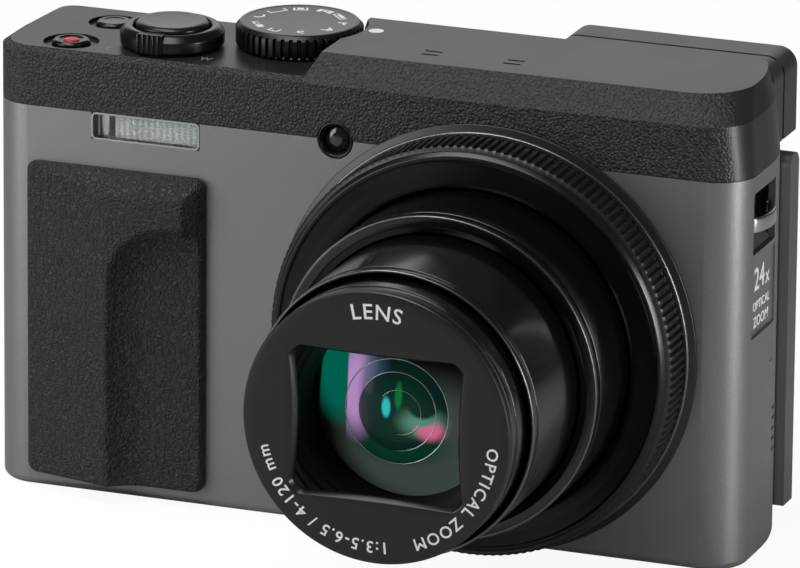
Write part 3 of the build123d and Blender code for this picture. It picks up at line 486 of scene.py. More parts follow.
def makeGlassPaintedReflections():
    # dark glass with painted reflections of its coatings, given off as glow though the glass is no lamp:
    # ellipses in mm about the lens axis, laid one over another, each (middle x, middle z, radius x, radius z,
    # softness, colour, strength, cutting ellipse or None); a cutting ellipse takes its inside away, which
    # leaves a crisp edge on one side
    paintedReflections = [
        (3.5, -5.0, 11.0, 9.5, 0.35, "4c5851", 0.75, None),
        (-8.6, 4.6, 4.6, 6.6, 0.4, "006f5c", 0.95, (-22.5, 4.0, 10.4, 30.0, 0.02)),
        (-5.0, 3.2, 2.3, 8.0, 0.12, "10332f", 0.95, None),
        (0.0, 0.0, 7.35, 7.35, 0.02, "07211d", 1.0, None),
        (0.5, -4.6, 6.2, 2.6, 0.5, "0b3c29", 0.8, None),
        (-5.9, 2.8, 2.7, 5.6, 0.55, "c59ad6", 1.0, (-19.0, 1.5, 11.9, 22.0, 0.012)),
        (-3.0, 3.6, 1.8, 4.6, 0.6, "36506a", 0.8, None),
        (0.35, 0.25, 5.5, 5.5, 0.02, "071f1b", 0.85, None),
        (0.9, 0.4, 4.4, 4.4, 0.6, "0c3a2c", 0.7, None),
        (0.7, 2.6, 0.5, 1.7, 0.4, "128046", 0.85, None),
        (-1.0, 0.9, 0.6, 1.3, 0.35, "35d0cf", 1.0, None),
        (3.9, -0.9, 2.6, 1.7, 0.7, "6fae93", 0.7, (4.1, 2.1, 2.2, 2.4, 0.15)),
        (5.0, -2.0, 1.6, 1.3, 0.6, "ee6f9f", 0.9, (4.0, 1.0, 2.2, 2.4, 0.15)),
    ]
    mat, tree, shader = newMaterial("glassPaintedReflections", Base_Color=linear("060707"), Roughness=0.12,
                                    Specular_IOR_Level=0.08, Emission_Strength=0.75)
    point = objectPoint(tree)

    def ellipse(x, z, rx, rz, soft):
        offset = vectorNode(tree, "SUBTRACT", point, ((lensX + x) / 1000, 0, (lensZ + z) / 1000))
        scaled = vectorNode(tree, "MULTIPLY", offset, (1000 / rx, 0, 1000 / rz))
        size = addNode(tree, "VectorMath", {0: scaled}, operation="LENGTH").outputs["Value"]
        return ramp(tree, size, 1 + soft, 1 - soft)

    paintedGlow = linear("050606")
    for x, z, rx, rz, soft, color, strength, cut in paintedReflections:
        mask = mathNode(tree, "MULTIPLY", ellipse(x, z, rx, rz, soft), strength)
        if cut:
            mask = mathNode(tree, "MULTIPLY", mask, mathNode(tree, "SUBTRACT", 1.0, ellipse(*cut)))
        paintedGlow = mixColor(tree, mask, paintedGlow, linear(color))
    # the painted reflections go on as emission colour, so the glass glows in these patches
    tree.links.new(paintedGlow, shader.inputs["Emission Color"])
    return mat


glassPaintedReflections = makeGlassPaintedReflections()
print("finishes made")

nodeFinish = {
    "front_cover": silverPaint, "rear_cover": rearShell, "top_cover": coverSkin, "grip_pad": rubberBlack,
    "thumb_pad": rubberBlack, "lens_flange_ring": satinBlack, "lens_bezel": satinBlack,
    "control_ring": satinBlack, "lens_guide_tube": darkMatte, "barrel_outer": lensBlack,
    "barrel_middle": lensBlack, "barrel_inner": lensBlack, "name_ring": satinBlack,
    "front_baffle": darkMatte, "front_lens": lensGlass, "mode_dial": satinBlack, "zoom_lever": satinBlack,
    "shutter_button": spunBlack, "movie_button": satinBlack, "power_button": satinBlack,
    "strap_lugs": brightMetal, "case_screws": steel, "hinge_pins": steel, "flash_window": clearPlastic,
    "flash_reflector": sleeveWhite, "flash_tube": clearPlastic, "af_lamp_lens": lampPlastic,
    "finder_frame": satinDeck, "finder_eyepiece": screenGloss, "diopter_dial": satinBlack,
    "rear_dial": satinBlack, "menu_button": satinBlack, "play_button": satinBlack,
    "function_button": satinBlack, "screen_frame": screenShell, "screen_glass": screenGloss,
    "screen_arm": steel, "battery_door": satinBlack, "door_latch": greyInk, "terminal_door": silverPaint,
    "terminal_sockets": steel, "battery": batteryShell, "memory_card": cardShell,
    "main_board": boardGreen, "image_sensor": sensorGloss, "tripod_socket": steel, "chassis_frame": steel,
    "sensor_plate": steel, "focus_rods": steel, "zoom_motor": steel,
}
for node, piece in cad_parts.items():
    mat = nodeFinish.get(node, darkMatte)
    if not piece.data.materials:
        piece.data.materials.append(mat)
    for i in range(len(piece.data.materials)):
        piece.data.materials[i] = mat
print("CAD nodes finished")

# lens: rings turned about its axis
lensSpec = dict(teeth=160, toothDepth=0.45, flangeR=30.5, trimR=29.54, bezelR=28.54, edgeRound=0.3)
ringLow, ringHigh = lowOf("control_ring"), highOf("control_ring")
ringR = (ringHigh[0] - ringLow[0]) / 2


def aboveFloor(chunk):
    # the flange is cut flat where it would pass below the base
    points, faces = chunk[0].copy(), chunk[1]
    points[:, 2] = np.maximum(points[:, 2], 0.05)
    return (points, faces) + tuple(chunk[2:])


def makeLensRings():
    flange = rounded([(26.5, frontY), (lensSpec["flangeR"], frontY), (lensSpec["flangeR"], frontY - 0.45),
                      (29.2, frontY - 0.8), (29.2, frontY - 1.1), (26.5, frontY - 1.1)], 0.15, 4)
    addPiece("flangeRing", [aboveFloor(turned(flange, lensMid, "y", 256))], "camera_body", satinBlack,
             ["lens_flange_ring"])
    t = lensSpec["trimR"]
    trim = rounded([(t - 0.75, frontY - 0.6), (t - 0.1, frontY - 0.6), (t + 0.06, frontY - 0.95),
                    (t - 0.1, frontY - 1.22), (t - 0.75, frontY - 1.22)], 0.1, 4)
    addPiece("trimRing", [aboveFloor(turned(trim, lensMid, "y", 256))], "camera_body", edgeMetal)
    y0, y1 = ringLow[1], ringHigh[1]
    profile = rounded([(26.6, y0), (ringR - 0.85, y0), (ringR - 0.12, y0 + 0.55), (ringR, y0 + 0.9),
                       (ringR, y1 - 0.5), (ringR - 0.5, y1), (26.6, y1)], 0.12, 2)
    toothed = (profile[:, 0] > ringR - 0.2).astype(float)
    addPiece("controlRing", [turned(profile, lensMid, "y", teeth=lensSpec["teeth"],
                                    depth=lensSpec["toothDepth"], toothed=toothed, crest=0.42)],
             "control_ring", ringBlack, ["control_ring"], sharp=28)
    b, f = lensSpec["bezelR"], lowOf("lens_bezel")[1]
    bezel = rounded([(b - 0.1, f + 1.75), (b, f + 0.75), (b - 0.55, f), (b - 1.0, f), (b - 1.3, f + 0.2),
                     (25.6, f + 0.55), (24.0, f + 0.8), (23.4, f + 1.05), (23.4, f + 1.85), (24.3, f + 1.85),
                     (24.3, frontY), (26.35, frontY), (26.35, f + 1.75)], 0.14, 5)
    addPiece("bezelRing", [turned(bezel, lensMid, "y", 256)], "camera_body", bezelBlack,
             ["lens_bezel"])


def makeBarrels():
    # each barrel: outside wall, rounded front lip with a fine bright edge, a flat front land and its bore
    for name, node, body, boreR, lands in (
            ("outerBarrel", "barrel_outer", "barrel_outer", 20.38, 21.3),
            ("middleBarrel", "barrel_middle", "barrel_middle", 19.3, 19.6),
            ("innerBarrel", "barrel_inner", "barrel_inner", 18.0, 18.6)):
        low, high = lowOf(node), highOf(node)
        r = (high[0] - low[0]) / 2 if name != "middleBarrel" else 20.08
        f, b = low[1], high[1]
        e = lensSpec["edgeRound"]
        body0 = [(boreR, f + 0.5), (lands, f + 0.12), (lands + 0.1, f), (r - e, f), (r, f + e), (r, f + 1.6),
                 (r - 0.07, f + 1.66), (r - 0.07, f + 1.86), (r, f + 1.92)]
        if name == "middleBarrel":
            tail = [(r, b - 1.2), (21.6, b - 1.2), (21.6, b), (boreR, b)]
        else:
            tail = [(r, b), (21.9 if name == "outerBarrel" else boreR, b)]
        if name == "outerBarrel":
            tail += [(21.9, f + 1.2), (boreR, f + 1.2)]
        profile = rounded(body0 + tail, 0.1, 4)
        line = rounded([(r - e - 0.1, f + 0.02), (r - e * 0.4, f - 0.02), (r + 0.015, f + e * 0.75),
                        (r - 0.1, f + e + 0.2), (r - e, f + 0.3)], 0.06, 4)
        addPiece(name, [turned(profile, lensMid, "y", 256)], body, barrelBlack, [node])
        addPiece(name + "Edge", [turned(line, lensMid, "y", 256)], body, edgeMetal)


windowSpec = dict(width=24.5, height=20.5, pinch=0.8, corner=2.6)


def windowOutline(segments, grow=0.0):
    # the four bowed sides meet in rounded corners; the outline is read as a radius for each angle
    w, h = windowSpec["width"] / 2 + grow, windowSpec["height"] / 2 + grow
    p = windowSpec["pinch"]
    k = np.linspace(-1, 1, 60)[:-1]
    bow = 1 - k ** 2
    sides = [np.stack([k * w, -h + bow * p / 2], -1), np.stack([w - bow * p, k * h], -1),
             np.stack([-k * w, h - bow * p / 2], -1), np.stack([-w + bow * p, -k * h], -1)]
    loop = np.concatenate(sides)
    c = windowSpec["corner"] + grow
    # pull the corners in to an arc about each corner's own centre
    q = np.abs(loop) - np.array([w - c, h - c])
    far = (q > 0).all(1)
    scale = c / np.maximum(np.linalg.norm(np.maximum(q, 1e-6), axis=1), 1e-6)
    pulled = np.sign(loop) * (np.array([w - c, h - c]) + q * np.minimum(scale, 1)[:, None])
    loop = np.where(far[:, None], pulled, loop)
    angle = np.arctan2(loop[:, 1], loop[:, 0])
    order = np.argsort(angle)
    t = 2 * np.pi * np.arange(segments) / segments - np.pi
    r = np.interp(t, angle[order], np.linalg.norm(loop, axis=1)[order], period=2 * np.pi)
    return t, r


def makeNameRing():
    # rings of points go from the window's inner wall over its bevel and the face to the outer wall and back
    low, high = lowOf("name_ring"), highOf("name_ring")
    outer = (high[0] - low[0]) / 2
    f, b = low[1], high[1]
    t, w0 = windowOutline(512)
    rows = [(w0, b), (w0, f + 0.75), (w0 + 0.06, f + 0.66), (w0 + 0.42, f + 0.12), (w0 + 0.52, f + 0.03),
            (w0 + 0.62, f)]
    full = np.full_like(w0, outer)
    rows += [(w0 + 0.62 + (full - 0.5 - w0 - 0.62) * k, f) for k in (0.25, 0.5, 0.75)]
    rows += [(full - 0.42, f), (full - 0.2, f + 0.05), (full - 0.05, f + 0.2), (full, f + 0.42), (full, b)]
    r = np.stack([row[0] for row in rows], 1)
    y = np.stack([np.full_like(t, row[1]) for row in rows], 1)
    pts = np.stack([lensX + r * np.cos(t)[:, None], y, lensZ + r * np.sin(t)[:, None]], -1)
    addPiece("nameRing", [surface(pts, True, True)], "barrel_inner", nameBlack, ["name_ring"])
    print("name ring made")


def ringText(text, size, radius, middle, y, bold=0.0, spacing=1.0):
    # flat letters bent along a circle: x along the line becomes an angle, y adds to the radius
    points, faces = letters(text, size, spacing, bold)
    angle = math.radians(middle) - points[:, 0] / radius
    r = radius + points[:, 1]
    bent = np.stack([lensX + r * np.cos(angle), y + points[:, 2], lensZ + r * np.sin(angle)], -1)
    return bent, faces


def makeLensMarks():
    f = lowOf("name_ring")[1]
    chunks = [ringText("LENS", 3.0, 16.1, 90, f - 0.01, 0.03, 1.15),
              ringText("OPTICAL ZOOM    1:3.5-6.5 / 4-120 mm", 2.3, 16.55, -84, f - 0.01, 0.03, 1.2)]
    addPiece("lensMarks", chunks, "barrel_inner", whiteInk)


def makeFrontGlass():
    low, high = lowOf("front_lens"), highOf("front_lens")
    r0 = (high[0] - low[0]) / 2
    edge = frontSpec["edgeY"]
    k = np.linspace(0, 1, 28)
    big = (r0 ** 2 + frontSpec["sag"] ** 2) / (2 * frontSpec["sag"])
    radii = r0 * k
    dome = edge - frontSpec["sag"] + big - np.sqrt(big ** 2 - radii ** 2)
    profile = np.concatenate([np.stack([radii, dome], -1), [(r0, high[1]), (0, high[1])]])
    addPiece("frontGlass", [turned(profile, lensMid, "y", 160, closed=True)], "barrel_inner", glassPaintedReflections,
             ["front_lens"])
    rings = []
    for r, dx, dz, tube in frontSpec["rings"]:
        y = edge - frontSpec["sag"] + big - math.sqrt(big ** 2 - r ** 2) - 0.02
        a = 2 * np.pi * np.arange(10) / 10
        loop = np.stack([r + tube * np.cos(a), y + tube * 0.8 * np.sin(a)], -1)
        rings.append(turned(loop, (lensX + dx, 0, lensZ + dz), "y", 160))
    addPiece("glassRims", rings, "barrel_inner", rimMetal)
    low, high = lowOf("front_baffle"), highOf("front_baffle")
    f, b = low[1], high[1]
    steps = [(18.0, f + 0.2), (17.4, f), (16.0, f), (15.6, f + 0.9), (15.2, f + 0.9), (14.8, f + 2.0),
             (14.3, f + 2.0), (14.0, f + 3.4), (13.6, f + 3.4), (13.4, f + 6.0), (r0 + 0.08, f + 7.4),
             (r0 + 0.08, b), (18.0, b)]
    addPiece("frontBaffle", [turned(rounded(steps, 0.1, 3), lensMid, "y", 192)], "barrel_inner", darkMatte,
             ["front_baffle"])


# grip and thumb pads
gripSpec = dict(edge=0.8, ridge=4.6, ridgeX=-36.05, scoop=1.7, scoopTop=41.0, scoopRound=9.0, scoopFall=5.2,
                corner=1.6, across=150, along=250, soften=3)


def blur(a, times):
    # each value becomes the mean of itself and its four neighbours
    for _ in range(times):
        p = np.pad(a, 1, mode="edge")
        a = (p[1:-1, 1:-1] + p[:-2, 1:-1] + p[2:, 1:-1] + p[1:-1, :-2] + p[1:-1, 2:]) / 5
    return a


def makeGrip():
    # height over the front face: a sloping roof up to the ridge, cut by a scoop with a round corner
    s = gripSpec
    low, high = lowOf("grip_pad"), highOf("grip_pad")
    x = np.linspace(low[0], high[0], s["across"])
    z = np.linspace(low[2], high[2], s["along"])
    gx, gz = np.meshgrid(x, z, indexing="ij")
    roof = np.interp(gx, [low[0], s["ridgeX"], high[0] - 2.2, high[0]],
                     [s["edge"], s["ridge"], s["ridge"] - 0.5, 1.5])
    roof = np.minimum(roof, np.interp(gz, [high[2] - 3.4, high[2]], [s["ridge"] + 1, s["edge"] + 0.2]))
    cx, cz, c = s["ridgeX"] + s["scoopRound"], s["scoopTop"] - s["scoopRound"], s["scoopRound"]
    qx, qz = np.maximum(cx - gx, 0), np.maximum(gz - cz, 0)
    inside = c - np.hypot(qx, qz)
    wall = 1 - (1 - np.clip(inside / s["scoopFall"], 0, 1)) ** 2.2
    dip = s["scoop"] + 0.5 * np.interp(gx, [s["ridgeX"], high[0]], [0.1, 0.0])
    height = roof + (np.minimum(roof, dip) - roof) * wall
    height = blur(height, s["soften"])
    # the rim rolls over to the face, and the outline's corners are pulled in to arcs
    w, h = (high[0] - low[0]) / 2, (high[2] - low[2]) / 2
    mx, mz = (high[0] + low[0]) / 2, (high[2] + low[2]) / 2
    qx, qz = np.abs(gx - mx) - (w - s["corner"]), np.abs(gz - mz) - (h - s["corner"])
    far = (qx > 0) & (qz > 0)
    length = np.maximum(np.hypot(qx, qz), 1e-6)
    scale = np.minimum(s["corner"] / length, 1)
    px = np.where(far, mx + np.sign(gx - mx) * (w - s["corner"] + qx * scale), gx)
    pz = np.where(far, mz + np.sign(gz - mz) * (h - s["corner"] + qz * scale), gz)
    depth = s["corner"] - np.where(far, np.minimum(length, s["corner"]), np.maximum(qx, qz))
    roll = np.sqrt(np.clip(1 - (1 - np.clip(depth / 0.7, 0, 1)) ** 2, 0, 1))
    height = height * (0.25 + 0.75 * roll)
    front = np.stack([px, frontY - height, pz], -1)
    back = np.stack([px, np.full_like(px, frontY + 0.05), pz], -1)
    nx, nz = gx.shape
    rim = np.concatenate([front[:, 0], front[-1, 1:], front[-2::-1, -1], front[0, -2:0:-1]])
    foot = np.concatenate([back[:, 0], back[-1, 1:], back[-2::-1, -1], back[0, -2:0:-1]])
    sides = surface(np.stack([rim, foot], 1), True, False)
    addPiece("gripPad", [surface(front), sides, surface(back[::nx - 1, ::nz - 1])], "camera_body", hide,
             ["grip_pad"], sharp=60)


def makeThumbPad():
    low, high = lowOf("thumb_pad"), highOf("thumb_pad")
    w, h = high[0] - low[0], high[2] - low[2]
    y0, y1 = low[1], high[1]
    mid = midOf("thumb_pad")
    lift = [(0, y0 - 0.02), (0, y0 + 0.35), (-0.12, y1 - 0.4), (-0.4, y1 - 0.1), (-0.8, y1), (-2.0, y1)]
    addPiece("thumbPad", [plate(outlineOf(w, h, 2.2), lift, onBack(mid[0], mid[2]))], "camera_body", hide,
             ["thumb_pad"])
    dots = []
    gx, gz = np.meshgrid(np.linspace(-w / 2 + 3, w / 2 - 3, 12), np.linspace(-h / 2 + 2, h / 2 - 2, 4),
                         indexing="ij")
    bead = rounded([(0.42, y1 - 0.05), (0.3, y1 + 0.16), (0.0, y1 + 0.2), (0.0, y1 - 0.05)], 0.08, 3)
    for dx, dz in zip(gx.ravel(), gz.ravel()):
        dots.append(turned(bead, (mid[0] + dx, 0, mid[2] + dz), "y", 12))
    addPiece("thumbDots", dots, "camera_body", rubberBlack)


# top controls
dialSpec = dict(teeth=48, depth=0.5, letterSize=2.5, letterR=6.15)
dialLow, dialHigh = lowOf("mode_dial"), highOf("mode_dial")
dialMid = midOf("mode_dial")
dialR = (dialHigh[0] - dialLow[0]) / 2
releaseMid = midOf("shutter_button")


def frameIcon(width, height, line):
    # a rectangle's outline, flat
    w, h = width / 2, height / 2
    outer = np.array([(-w, -h), (w, -h), (w, h), (-w, h)])
    inner = outer * np.array([(w - line) / w, (h - line) / h])
    pts = np.concatenate([np.c_[outer, np.full(4, 0.01)], np.c_[inner, np.full(4, 0.01)]])
    return pts, [[i, (i + 1) % 4, 4 + (i + 1) % 4, 4 + i] for i in range(4)]


def blockIcon(width, height):
    w, h = width / 2, height / 2
    return np.array([(-w, -h, 0.01), (w, -h, 0.01), (w, h, 0.01), (-w, h, 0.01)]), [[0, 1, 2, 3]]


def makeDial():
    foot, top = deckZ + 0.2, dialHigh[2]
    rim = dialR - 0.55
    profile = rounded([(0, foot), (dialR - 0.45, foot), (dialR, foot + 0.35), (dialR, top - 0.75),
                       (dialR - 0.35, top - 0.4), (rim - 0.1, top - 0.05), (rim - 0.5, top),
                       (rim - 0.75, top - 0.06), (0, top - 0.1)], 0.1, 3, closed=False)
    toothed = (profile[:, 0] > dialR - 0.2).astype(float)
    shaft = [(0, dialLow[2]), (3.0, dialLow[2]), (3.0, foot + 0.1), (0, foot + 0.1)]
    addPiece("modeDial", [turned(profile, dialMid, "z", teeth=dialSpec["teeth"], depth=dialSpec["depth"],
                                 toothed=toothed, crest=0.5), turned(shaft, dialMid, "z", 48)],
             "mode_dial", [dialBlack], ["mode_dial"], sharp=26)
    spec = dialSpec
    marks = []
    for angle, kind in ((179, "C"), (143, "frame"), (110, "stack"), (75, "blocks"), (42, "pill"), (7, "P"),
                        (-28, "A"), (-68, "S"), (-105, "M"), (-141, "movie")):
        if kind == "frame":
            chunks = [frameIcon(2.9, 1.7, 0.28)]
        elif kind == "stack":
            chunks = [frameIcon(2.1, 1.9, 0.3), blockIcon(1.0, 0.9)]
        elif kind == "blocks":
            p, q = blockIcon(0.8, 1.6)
            chunks = [(p - [0.85, 0, 0], q), blockIcon(0.5, 1.0), (p + [0.85, 0, 0], q)]
        elif kind == "pill":
            chunks = [frameIcon(3.0, 1.5, 0.22), blockIcon(2.0, 0.6)]
        elif kind == "movie":
            p, q = blockIcon(1.3, 1.1)
            m, n = letters("M", 1.7, bold=0.04)
            chunks = [(p - [0.9, 0, 0], q), (m + [0.85, 0, 0], n)]
        else:
            chunks = [letters(kind, spec["letterSize"], bold=0.05)]
        turn = math.radians(angle - 90)
        c, s = math.cos(turn), math.sin(turn)
        for p, q in chunks:
            u, v = p[:, 0], p[:, 1] + spec["letterR"]
            marks.append((np.stack([dialMid[0] + u * c - v * s, dialMid[1] + u * s + v * c,
                                    top - 0.075 + p[:, 2]], -1), q))
    addPiece("dialMarks", marks, "mode_dial", whiteInk, flip=False)


def makeZoomLever():
    low, high = lowOf("zoom_lever"), highOf("zoom_lever")
    cx, cy = releaseMid[0], releaseMid[1]
    foot, top = deckZ + 0.3, high[2] - 0.2
    outer = 7.3
    ring = rounded([(2.5, deckZ - 3.0), (4.6, deckZ - 3.0), (4.6, foot), (outer - 0.3, foot),
                    (outer, foot + 0.25),
                    (outer, top - 0.95), (outer - 0.12, top - 0.8), (outer - 0.7, top - 0.15),
                    (outer - 1.0, top),
                    (5.65, top), (5.42, top - 0.25), (5.42, foot + 0.5), (2.5, foot + 0.5)], 0.12, 4)
    # the finger tab: a plan outline with ribs along its front, raised with a small bevel
    x0, x1 = cx - 2.35, cx + 1.4
    k = np.linspace(0, 1, 61)
    ribs = 0.5 + 0.5 * np.cos(2 * np.pi * 5 * k)
    frontEdge = np.stack([x0 + (x1 - x0) * k, low[1] + 0.32 * (1 - ribs)], -1)
    backEdge = np.array([(x1, cy - 5.9), (x0, cy - 5.9)])
    tabOutline = np.concatenate([frontEdge, backEdge])
    tabTop = high[2]
    lift = [(-0.02, foot + 0.1), (0, foot + 0.35), (0, tabTop - 0.22), (-0.06, tabTop - 0.05),
            (-0.16, tabTop)]
    tab = plate(tabOutline - [cx, cy - 7], lift, onTop(cx, cy - 7))
    addPiece("zoomLever", [turned(ring, (cx, cy, 0), "z", 160), tab], "zoom_lever", leverBlack,
             ["zoom_lever"], sharp=30)
    top = highOf("shutter_button")[2]
    low = lowOf("shutter_button")[2]
    disc = rounded([(0, low), (2.2, low), (2.2, top - 1.5), (5.0, top - 1.5), (5.1, top - 1.2),
                    (5.1, top - 0.42),
                    (4.75, top - 0.08), (4.3, top), (3.2, top - 0.06), (0, top - 0.14)], 0.14, 4,
                   closed=False)
    addPiece("shutterDisc", [turned(disc, (cx, cy, 0), "z", 128)], "shutter_button", spunBlack,
             ["shutter_button"], sharp=40)


def makeTopButtons():
    for name, node, body, hollow in (("movieKey", "movie_button", "movie_button", 0.22),
                                     ("powerKey", "power_button", "power_button", 0.1)):
        low, high, mid = lowOf(node), highOf(node), midOf(node)
        r, top = (high[0] - low[0]) / 2, high[2]
        cap = rounded([(0, low[2]), (r, low[2]), (r, top - 0.3), (r - 0.35, top), (r - 0.75, top),
                       (r - 1.15, top - hollow), (0, top - hollow)], 0.12, 4, closed=False)
        addPiece(name, [turned(cap, mid, "z", 96)], body, leverBlack, [node], sharp=40)
        if node == "movie_button":
            dot = rounded([(0, top - 0.3), (1.15, top - 0.3), (1.15, top - 0.1), (0.95, top - 0.03),
                           (0, top)],
                          0.08, 3, closed=False)
            addPiece("movieDot", [turned(dot, mid, "z", 48)], body, redInk)


def makeTopMarks():
    marks = []
    for text, dx, dy in (("T", -7.5, -5.4), ("W", 7.1, -5.3)):
        p, q = letters(text, 1.7)
        marks.append((np.stack([releaseMid[0] + dx + p[:, 0], releaseMid[1] + dy + p[:, 1],
                                deckZ + 0.005 + p[:, 2]], -1), q))
    addPiece("zoomMarks", marks, "camera_body", greyInk, flip=False)
    dot = [(0, humpZ - 0.05), (1.05, humpZ - 0.05), (1.05, humpZ + 0.02), (0, humpZ + 0.02)]
    addPiece("indexDot", [turned(dot, (dialMid[0] + dialR + 2.35, dialMid[1] + 0.2, 0), "z", 40)],
             "camera_body", whiteInk)


# flash, lamp and strap bars
def makeFlash():
    low, high, mid = lowOf("flash_window"), highOf("flash_window"), midOf("flash_window")
    w, h = high[0] - low[0], high[2] - low[2]
    f = low[1]
    outline = outlineOf(w, h, 0.7)
    addPiece("flashWindow", [plate(outline, [(0, -(f + 1.2)), (0, -(f + 0.12)), (-0.1, -f), (-0.5, -f)],
                                   onFront(mid[0], mid[2]))],
             "camera_body", clearPlastic, ["flash_window"])
    frameLine = outlineOf(w + 0.1, h + 0.1, 0.8)
    k = np.stack([frameLine, outlineOf(w - 0.35, h - 0.35, 0.6)], 1)
    rim = np.concatenate([np.stack([mid[0] + k[:, i, 0], np.full(len(k), f - d), mid[2] + k[:, i, 1]],
                                   -1)[:, None]
                          for i, d in ((0, -0.3), (0, 0.03), (1, 0.03), (1, -0.3))], 1)
    addPiece("flashRim", [surface(rim, True, True)], "camera_body", rimPlastic)
    # the diffuser behind the window: a wavy sheet of fine ribs, and a plain part at the tube's end
    nx, nz = 160, 30
    x = np.linspace(low[0] + 3.2, high[0] - 0.25, nx)
    z = np.linspace(low[2] + 0.3, high[2] - 0.3, nz)
    gx, gz = np.meshgrid(x, z, indexing="ij")
    wave = 0.06 * np.cos(2 * np.pi * gz / 0.42) + 0.05 * np.cos(2 * np.pi * gx / 0.9)
    front = np.stack([gx, f + 1.32 + wave, gz], -1)
    back = np.stack([gx[::nx - 1, ::nz - 1], np.full((2, 2), f + 1.75), gz[::nx - 1, ::nz - 1]], -1)
    addPiece("flashDiffuser", [surface(front), surface(back)], "camera_body", diffuserWhite,
             sharp=60, flip=False)
    posts = []
    postR, foot, top = 0.16, low[2] + 0.3, high[2] - 0.3
    loop = rounded([(0, foot), (postR, foot), (postR, top), (0, top)], 0.05, 3, closed=False)
    for dx in (0.7, 1.35, 2.2):
        posts.append(turned(loop, (low[0] + dx, f + 1.5, 0), "z", 12))
    addPiece("flashPosts", posts, "camera_body", brightMetal)


def makeLamp():
    low, _, mid = lowOf("af_lamp_lens"), highOf("af_lamp_lens"), midOf("af_lamp_lens")
    f = low[1]
    ring = rounded([(2.58, f + 0.7), (2.58, f + 0.1), (2.4, f - 0.02), (2.2, f + 0.1), (1.95, f + 0.75)],
                   0.08, 4)
    lens = rounded([(0, f + 0.45), (0.9, f + 0.55), (1.7, f + 0.95), (2.0, f + 1.3), (2.6, f + 1.35),
                    (2.6, f + 2.5), (0, f + 2.5)], 0.15, 4, closed=False)
    addPiece("lampRing", [turned(ring, mid, "y", 96)], "camera_body", leverBlack)
    addPiece("lampLens", [turned(lens, mid, "y", 96)], "camera_body", lampPlastic, ["af_lamp_lens"])


barSpec = dict(height=2.1, z=48.4)


def makeStrapBars():
    low, high = lowOf("strap_lugs"), highOf("strap_lugs")
    chunks = []
    for side in (-1, 1):
        face = side * (high[0] - 0.8)
        inner = face - side * 3.0
        y0, y1 = low[1], high[1]
        z0, z1 = low[2], high[2]
        # the cup: a shallow tray that slopes out towards its foot
        k = np.linspace(0, 1, 24)
        z = z0 + (z1 - z0) * k
        slope = inner + side * 2.2 * np.clip(1 - (z - z0) / 3.0, 0, 1) ** 1.5
        gx = np.stack([slope, slope], 1)
        gy = np.stack([np.full(24, y0 + 0.05), np.full(24, y1 - 0.05)], 1)
        tray = np.stack([gx, gy, np.stack([z, z], 1)], -1)
        chunks.append(surface(tray) + (1,))
        # the bar: a flat arch with rounded edges, bowed out in the middle
        t = np.linspace(0, 1, 40)
        y = y0 + 0.15 + (y1 - y0 - 0.3) * t
        bow = face - side * 0.9 + side * 1.55 * np.sin(np.pi * t) ** 0.55
        loop = outlineOf(0.95, barSpec["height"], 0.3, 4)
        ring = np.stack([bow[:, None] + loop[None, :, 0], np.repeat(y[:, None], len(loop), 1),
                         barSpec["z"] + np.repeat(loop[None, :, 1], 40, 0)], -1)
        chunks.append(surface(ring, False, True) + (0,))
        for end in (ring[0], ring[-1]):
            chunks.append((end, [list(range(len(loop)))], 0))
    addPiece("strapBars", chunks, "camera_body", [brightMetal, trayGrey], ["strap_lugs"],
             sharp=40)


labelDepth = 0.45


def makeSideMarks():
    x = highOf("front_cover")[0]
    marks = []
    for text, size, y, z in (("ZOOM", 2.1, -2.65, 34.0), ("OPTICAL", 1.75, -2.65, 36.3),
                             ("24", 4.6, -3.6, 40.0), ("x", 3.2, -0.1, 39.5)):
        p, q = letters(text, size, bold=0.03)
        marks.append((np.stack([np.full(len(p), x - labelDepth + 0.012) + p[:, 2], y + p[:, 0], z + p[:, 1]],
                               -1), q))
    addPiece("sideMarks", marks, "camera_body", whiteInk, flip=False)


makeLensRings()
makeBarrels()
makeNameRing()
makeLensMarks()
makeFrontGlass()
print("lens made")
makeGrip()
makeThumbPad()
print("grips made")
makeDial()
makeZoomLever()
makeTopButtons()
makeTopMarks()
print("top controls made")
makeFlash()
makeLamp()
makeStrapBars()
makeSideMarks()
print("front and sides made")

# stage
stageSpec = dict(floorTone="bcbcbc", size=6.0, glow=1.15, glowShare=0.8, ambient=0.07)


def makeFloor():
    mesh = bpy.data.meshes.new("floor")
    s = stageSpec["size"]
    mesh.from_pydata([(-s, -s, 0), (s, -s, 0), (s, s, 0), (-s, s, 0)], [], [(0, 1, 2, 3)])
    mat, tree, shader = newMaterial("floorPale", Base_Color=linear(stageSpec["floorTone"]), Roughness=0.9)
    glow = addNode(tree, "Emission", {"Color": (1, 1, 1, 1), "Strength": stageSpec["glow"]})
    seen = addNode(tree, "LightPath").outputs["Is Camera Ray"]
    share = mathNode(tree, "MULTIPLY", seen, stageSpec["glowShare"])
    mix = addNode(tree, "MixShader", {0: share, 1: shader.outputs[0], 2: glow.outputs[0]})
    tree.links.new(mix.outputs[0], tree.nodes["Material Output"].inputs[0])
    mesh.materials.append(mat)
    floor = bpy.data.objects.new("floor", mesh)
    bpy.context.scene.collection.objects.link(floor)


makeFloor()


def addLight(name, place, aim, width, height, power):
    light = bpy.data.lights.new(name, "AREA")
    light.shape = "RECTANGLE"
    light.size, light.size_y = width, height
    light.energy = power
    lamp = bpy.data.objects.new(name, light)
    lamp.location = place
    lamp.rotation_euler = (Vector(aim) - Vector(place)).to_track_quat("-Z", "Y").to_euler()
    bpy.context.scene.collection.objects.link(lamp)


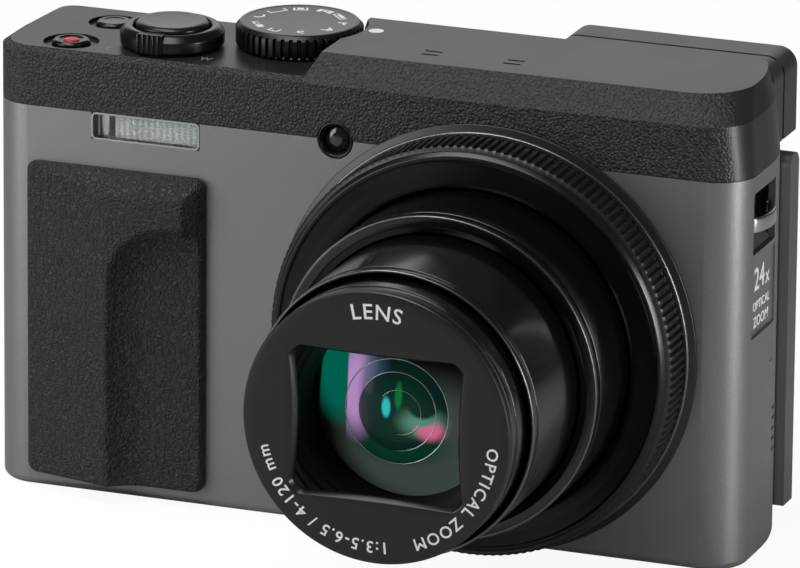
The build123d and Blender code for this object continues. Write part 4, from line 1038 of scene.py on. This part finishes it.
bodyMid = tuple(float(v) / 1000 for v in midOf("front_cover"))
for name, place, width, height, power in (
        ("leftPanel", (-0.27, -0.25, 0.15), 0.20, 0.34, 0.85),
        ("rightStrip", (0.42, -0.10, 0.05), 0.06, 0.30, 1.5),
        ("overhead", (-0.10, -0.12, 0.55), 0.50, 0.22, 2.0),
        ("backPanel", (-0.30, 0.70, 0.30), 0.80, 0.35, 0.95)):
    addLight(name, place, bodyMid, width, height, power)


def makeWorld():
    # dim for the object, white for the camera
    world = bpy.data.worlds.new("studio")
    world.use_nodes = True
    tree = world.node_tree
    backdrop = tree.nodes["Background"]
    backdrop.inputs["Color"].default_value = (1, 1, 1, 1)
    backdrop.inputs["Strength"].default_value = stageSpec["ambient"]
    seen = addNode(tree, "Background", {"Strength": 1.0})
    ray = addNode(tree, "LightPath").outputs["Is Camera Ray"]
    mix = addNode(tree, "MixShader", {0: ray, 1: backdrop.outputs[0], 2: seen.outputs[0]})
    tree.links.new(mix.outputs[0], tree.nodes["World Output"].inputs[0])
    bpy.context.scene.world = world


makeWorld()
bpy.context.scene.view_settings.view_transform = "Standard"

# camera
cameraSpec = dict(azimuth=20.529, elevation=17.252, roll=0.513, distance=1.2692, lens=416.4,
                  target=(0.00577, -0.0125, 0.03593))


def makeCamera():
    # back = the way from the target to the camera; right and up are then turned by the roll
    a, e, k = (math.radians(cameraSpec[v]) for v in ("azimuth", "elevation", "roll"))
    back = Vector((math.sin(a) * math.cos(e), -math.cos(a) * math.cos(e), math.sin(e)))
    right = Vector((math.cos(a), math.sin(a), 0))
    up = back.cross(right)
    r2 = right * math.cos(k) + up * math.sin(k)
    u2 = up * math.cos(k) - right * math.sin(k)
    data = bpy.data.cameras.new("camera")
    data.lens = cameraSpec["lens"]
    data.sensor_width = 36
    camera = bpy.data.objects.new("camera", data)
    place = Vector(cameraSpec["target"]) + back * cameraSpec["distance"]
    camera.matrix_world = Matrix(((r2.x, u2.x, back.x, place.x), (r2.y, u2.y, back.y, place.y),
                                  (r2.z, u2.z, back.z, place.z), (0, 0, 0, 1)))
    bpy.context.scene.collection.objects.link(camera)
    bpy.context.scene.camera = camera


makeCamera()
print("stage made")
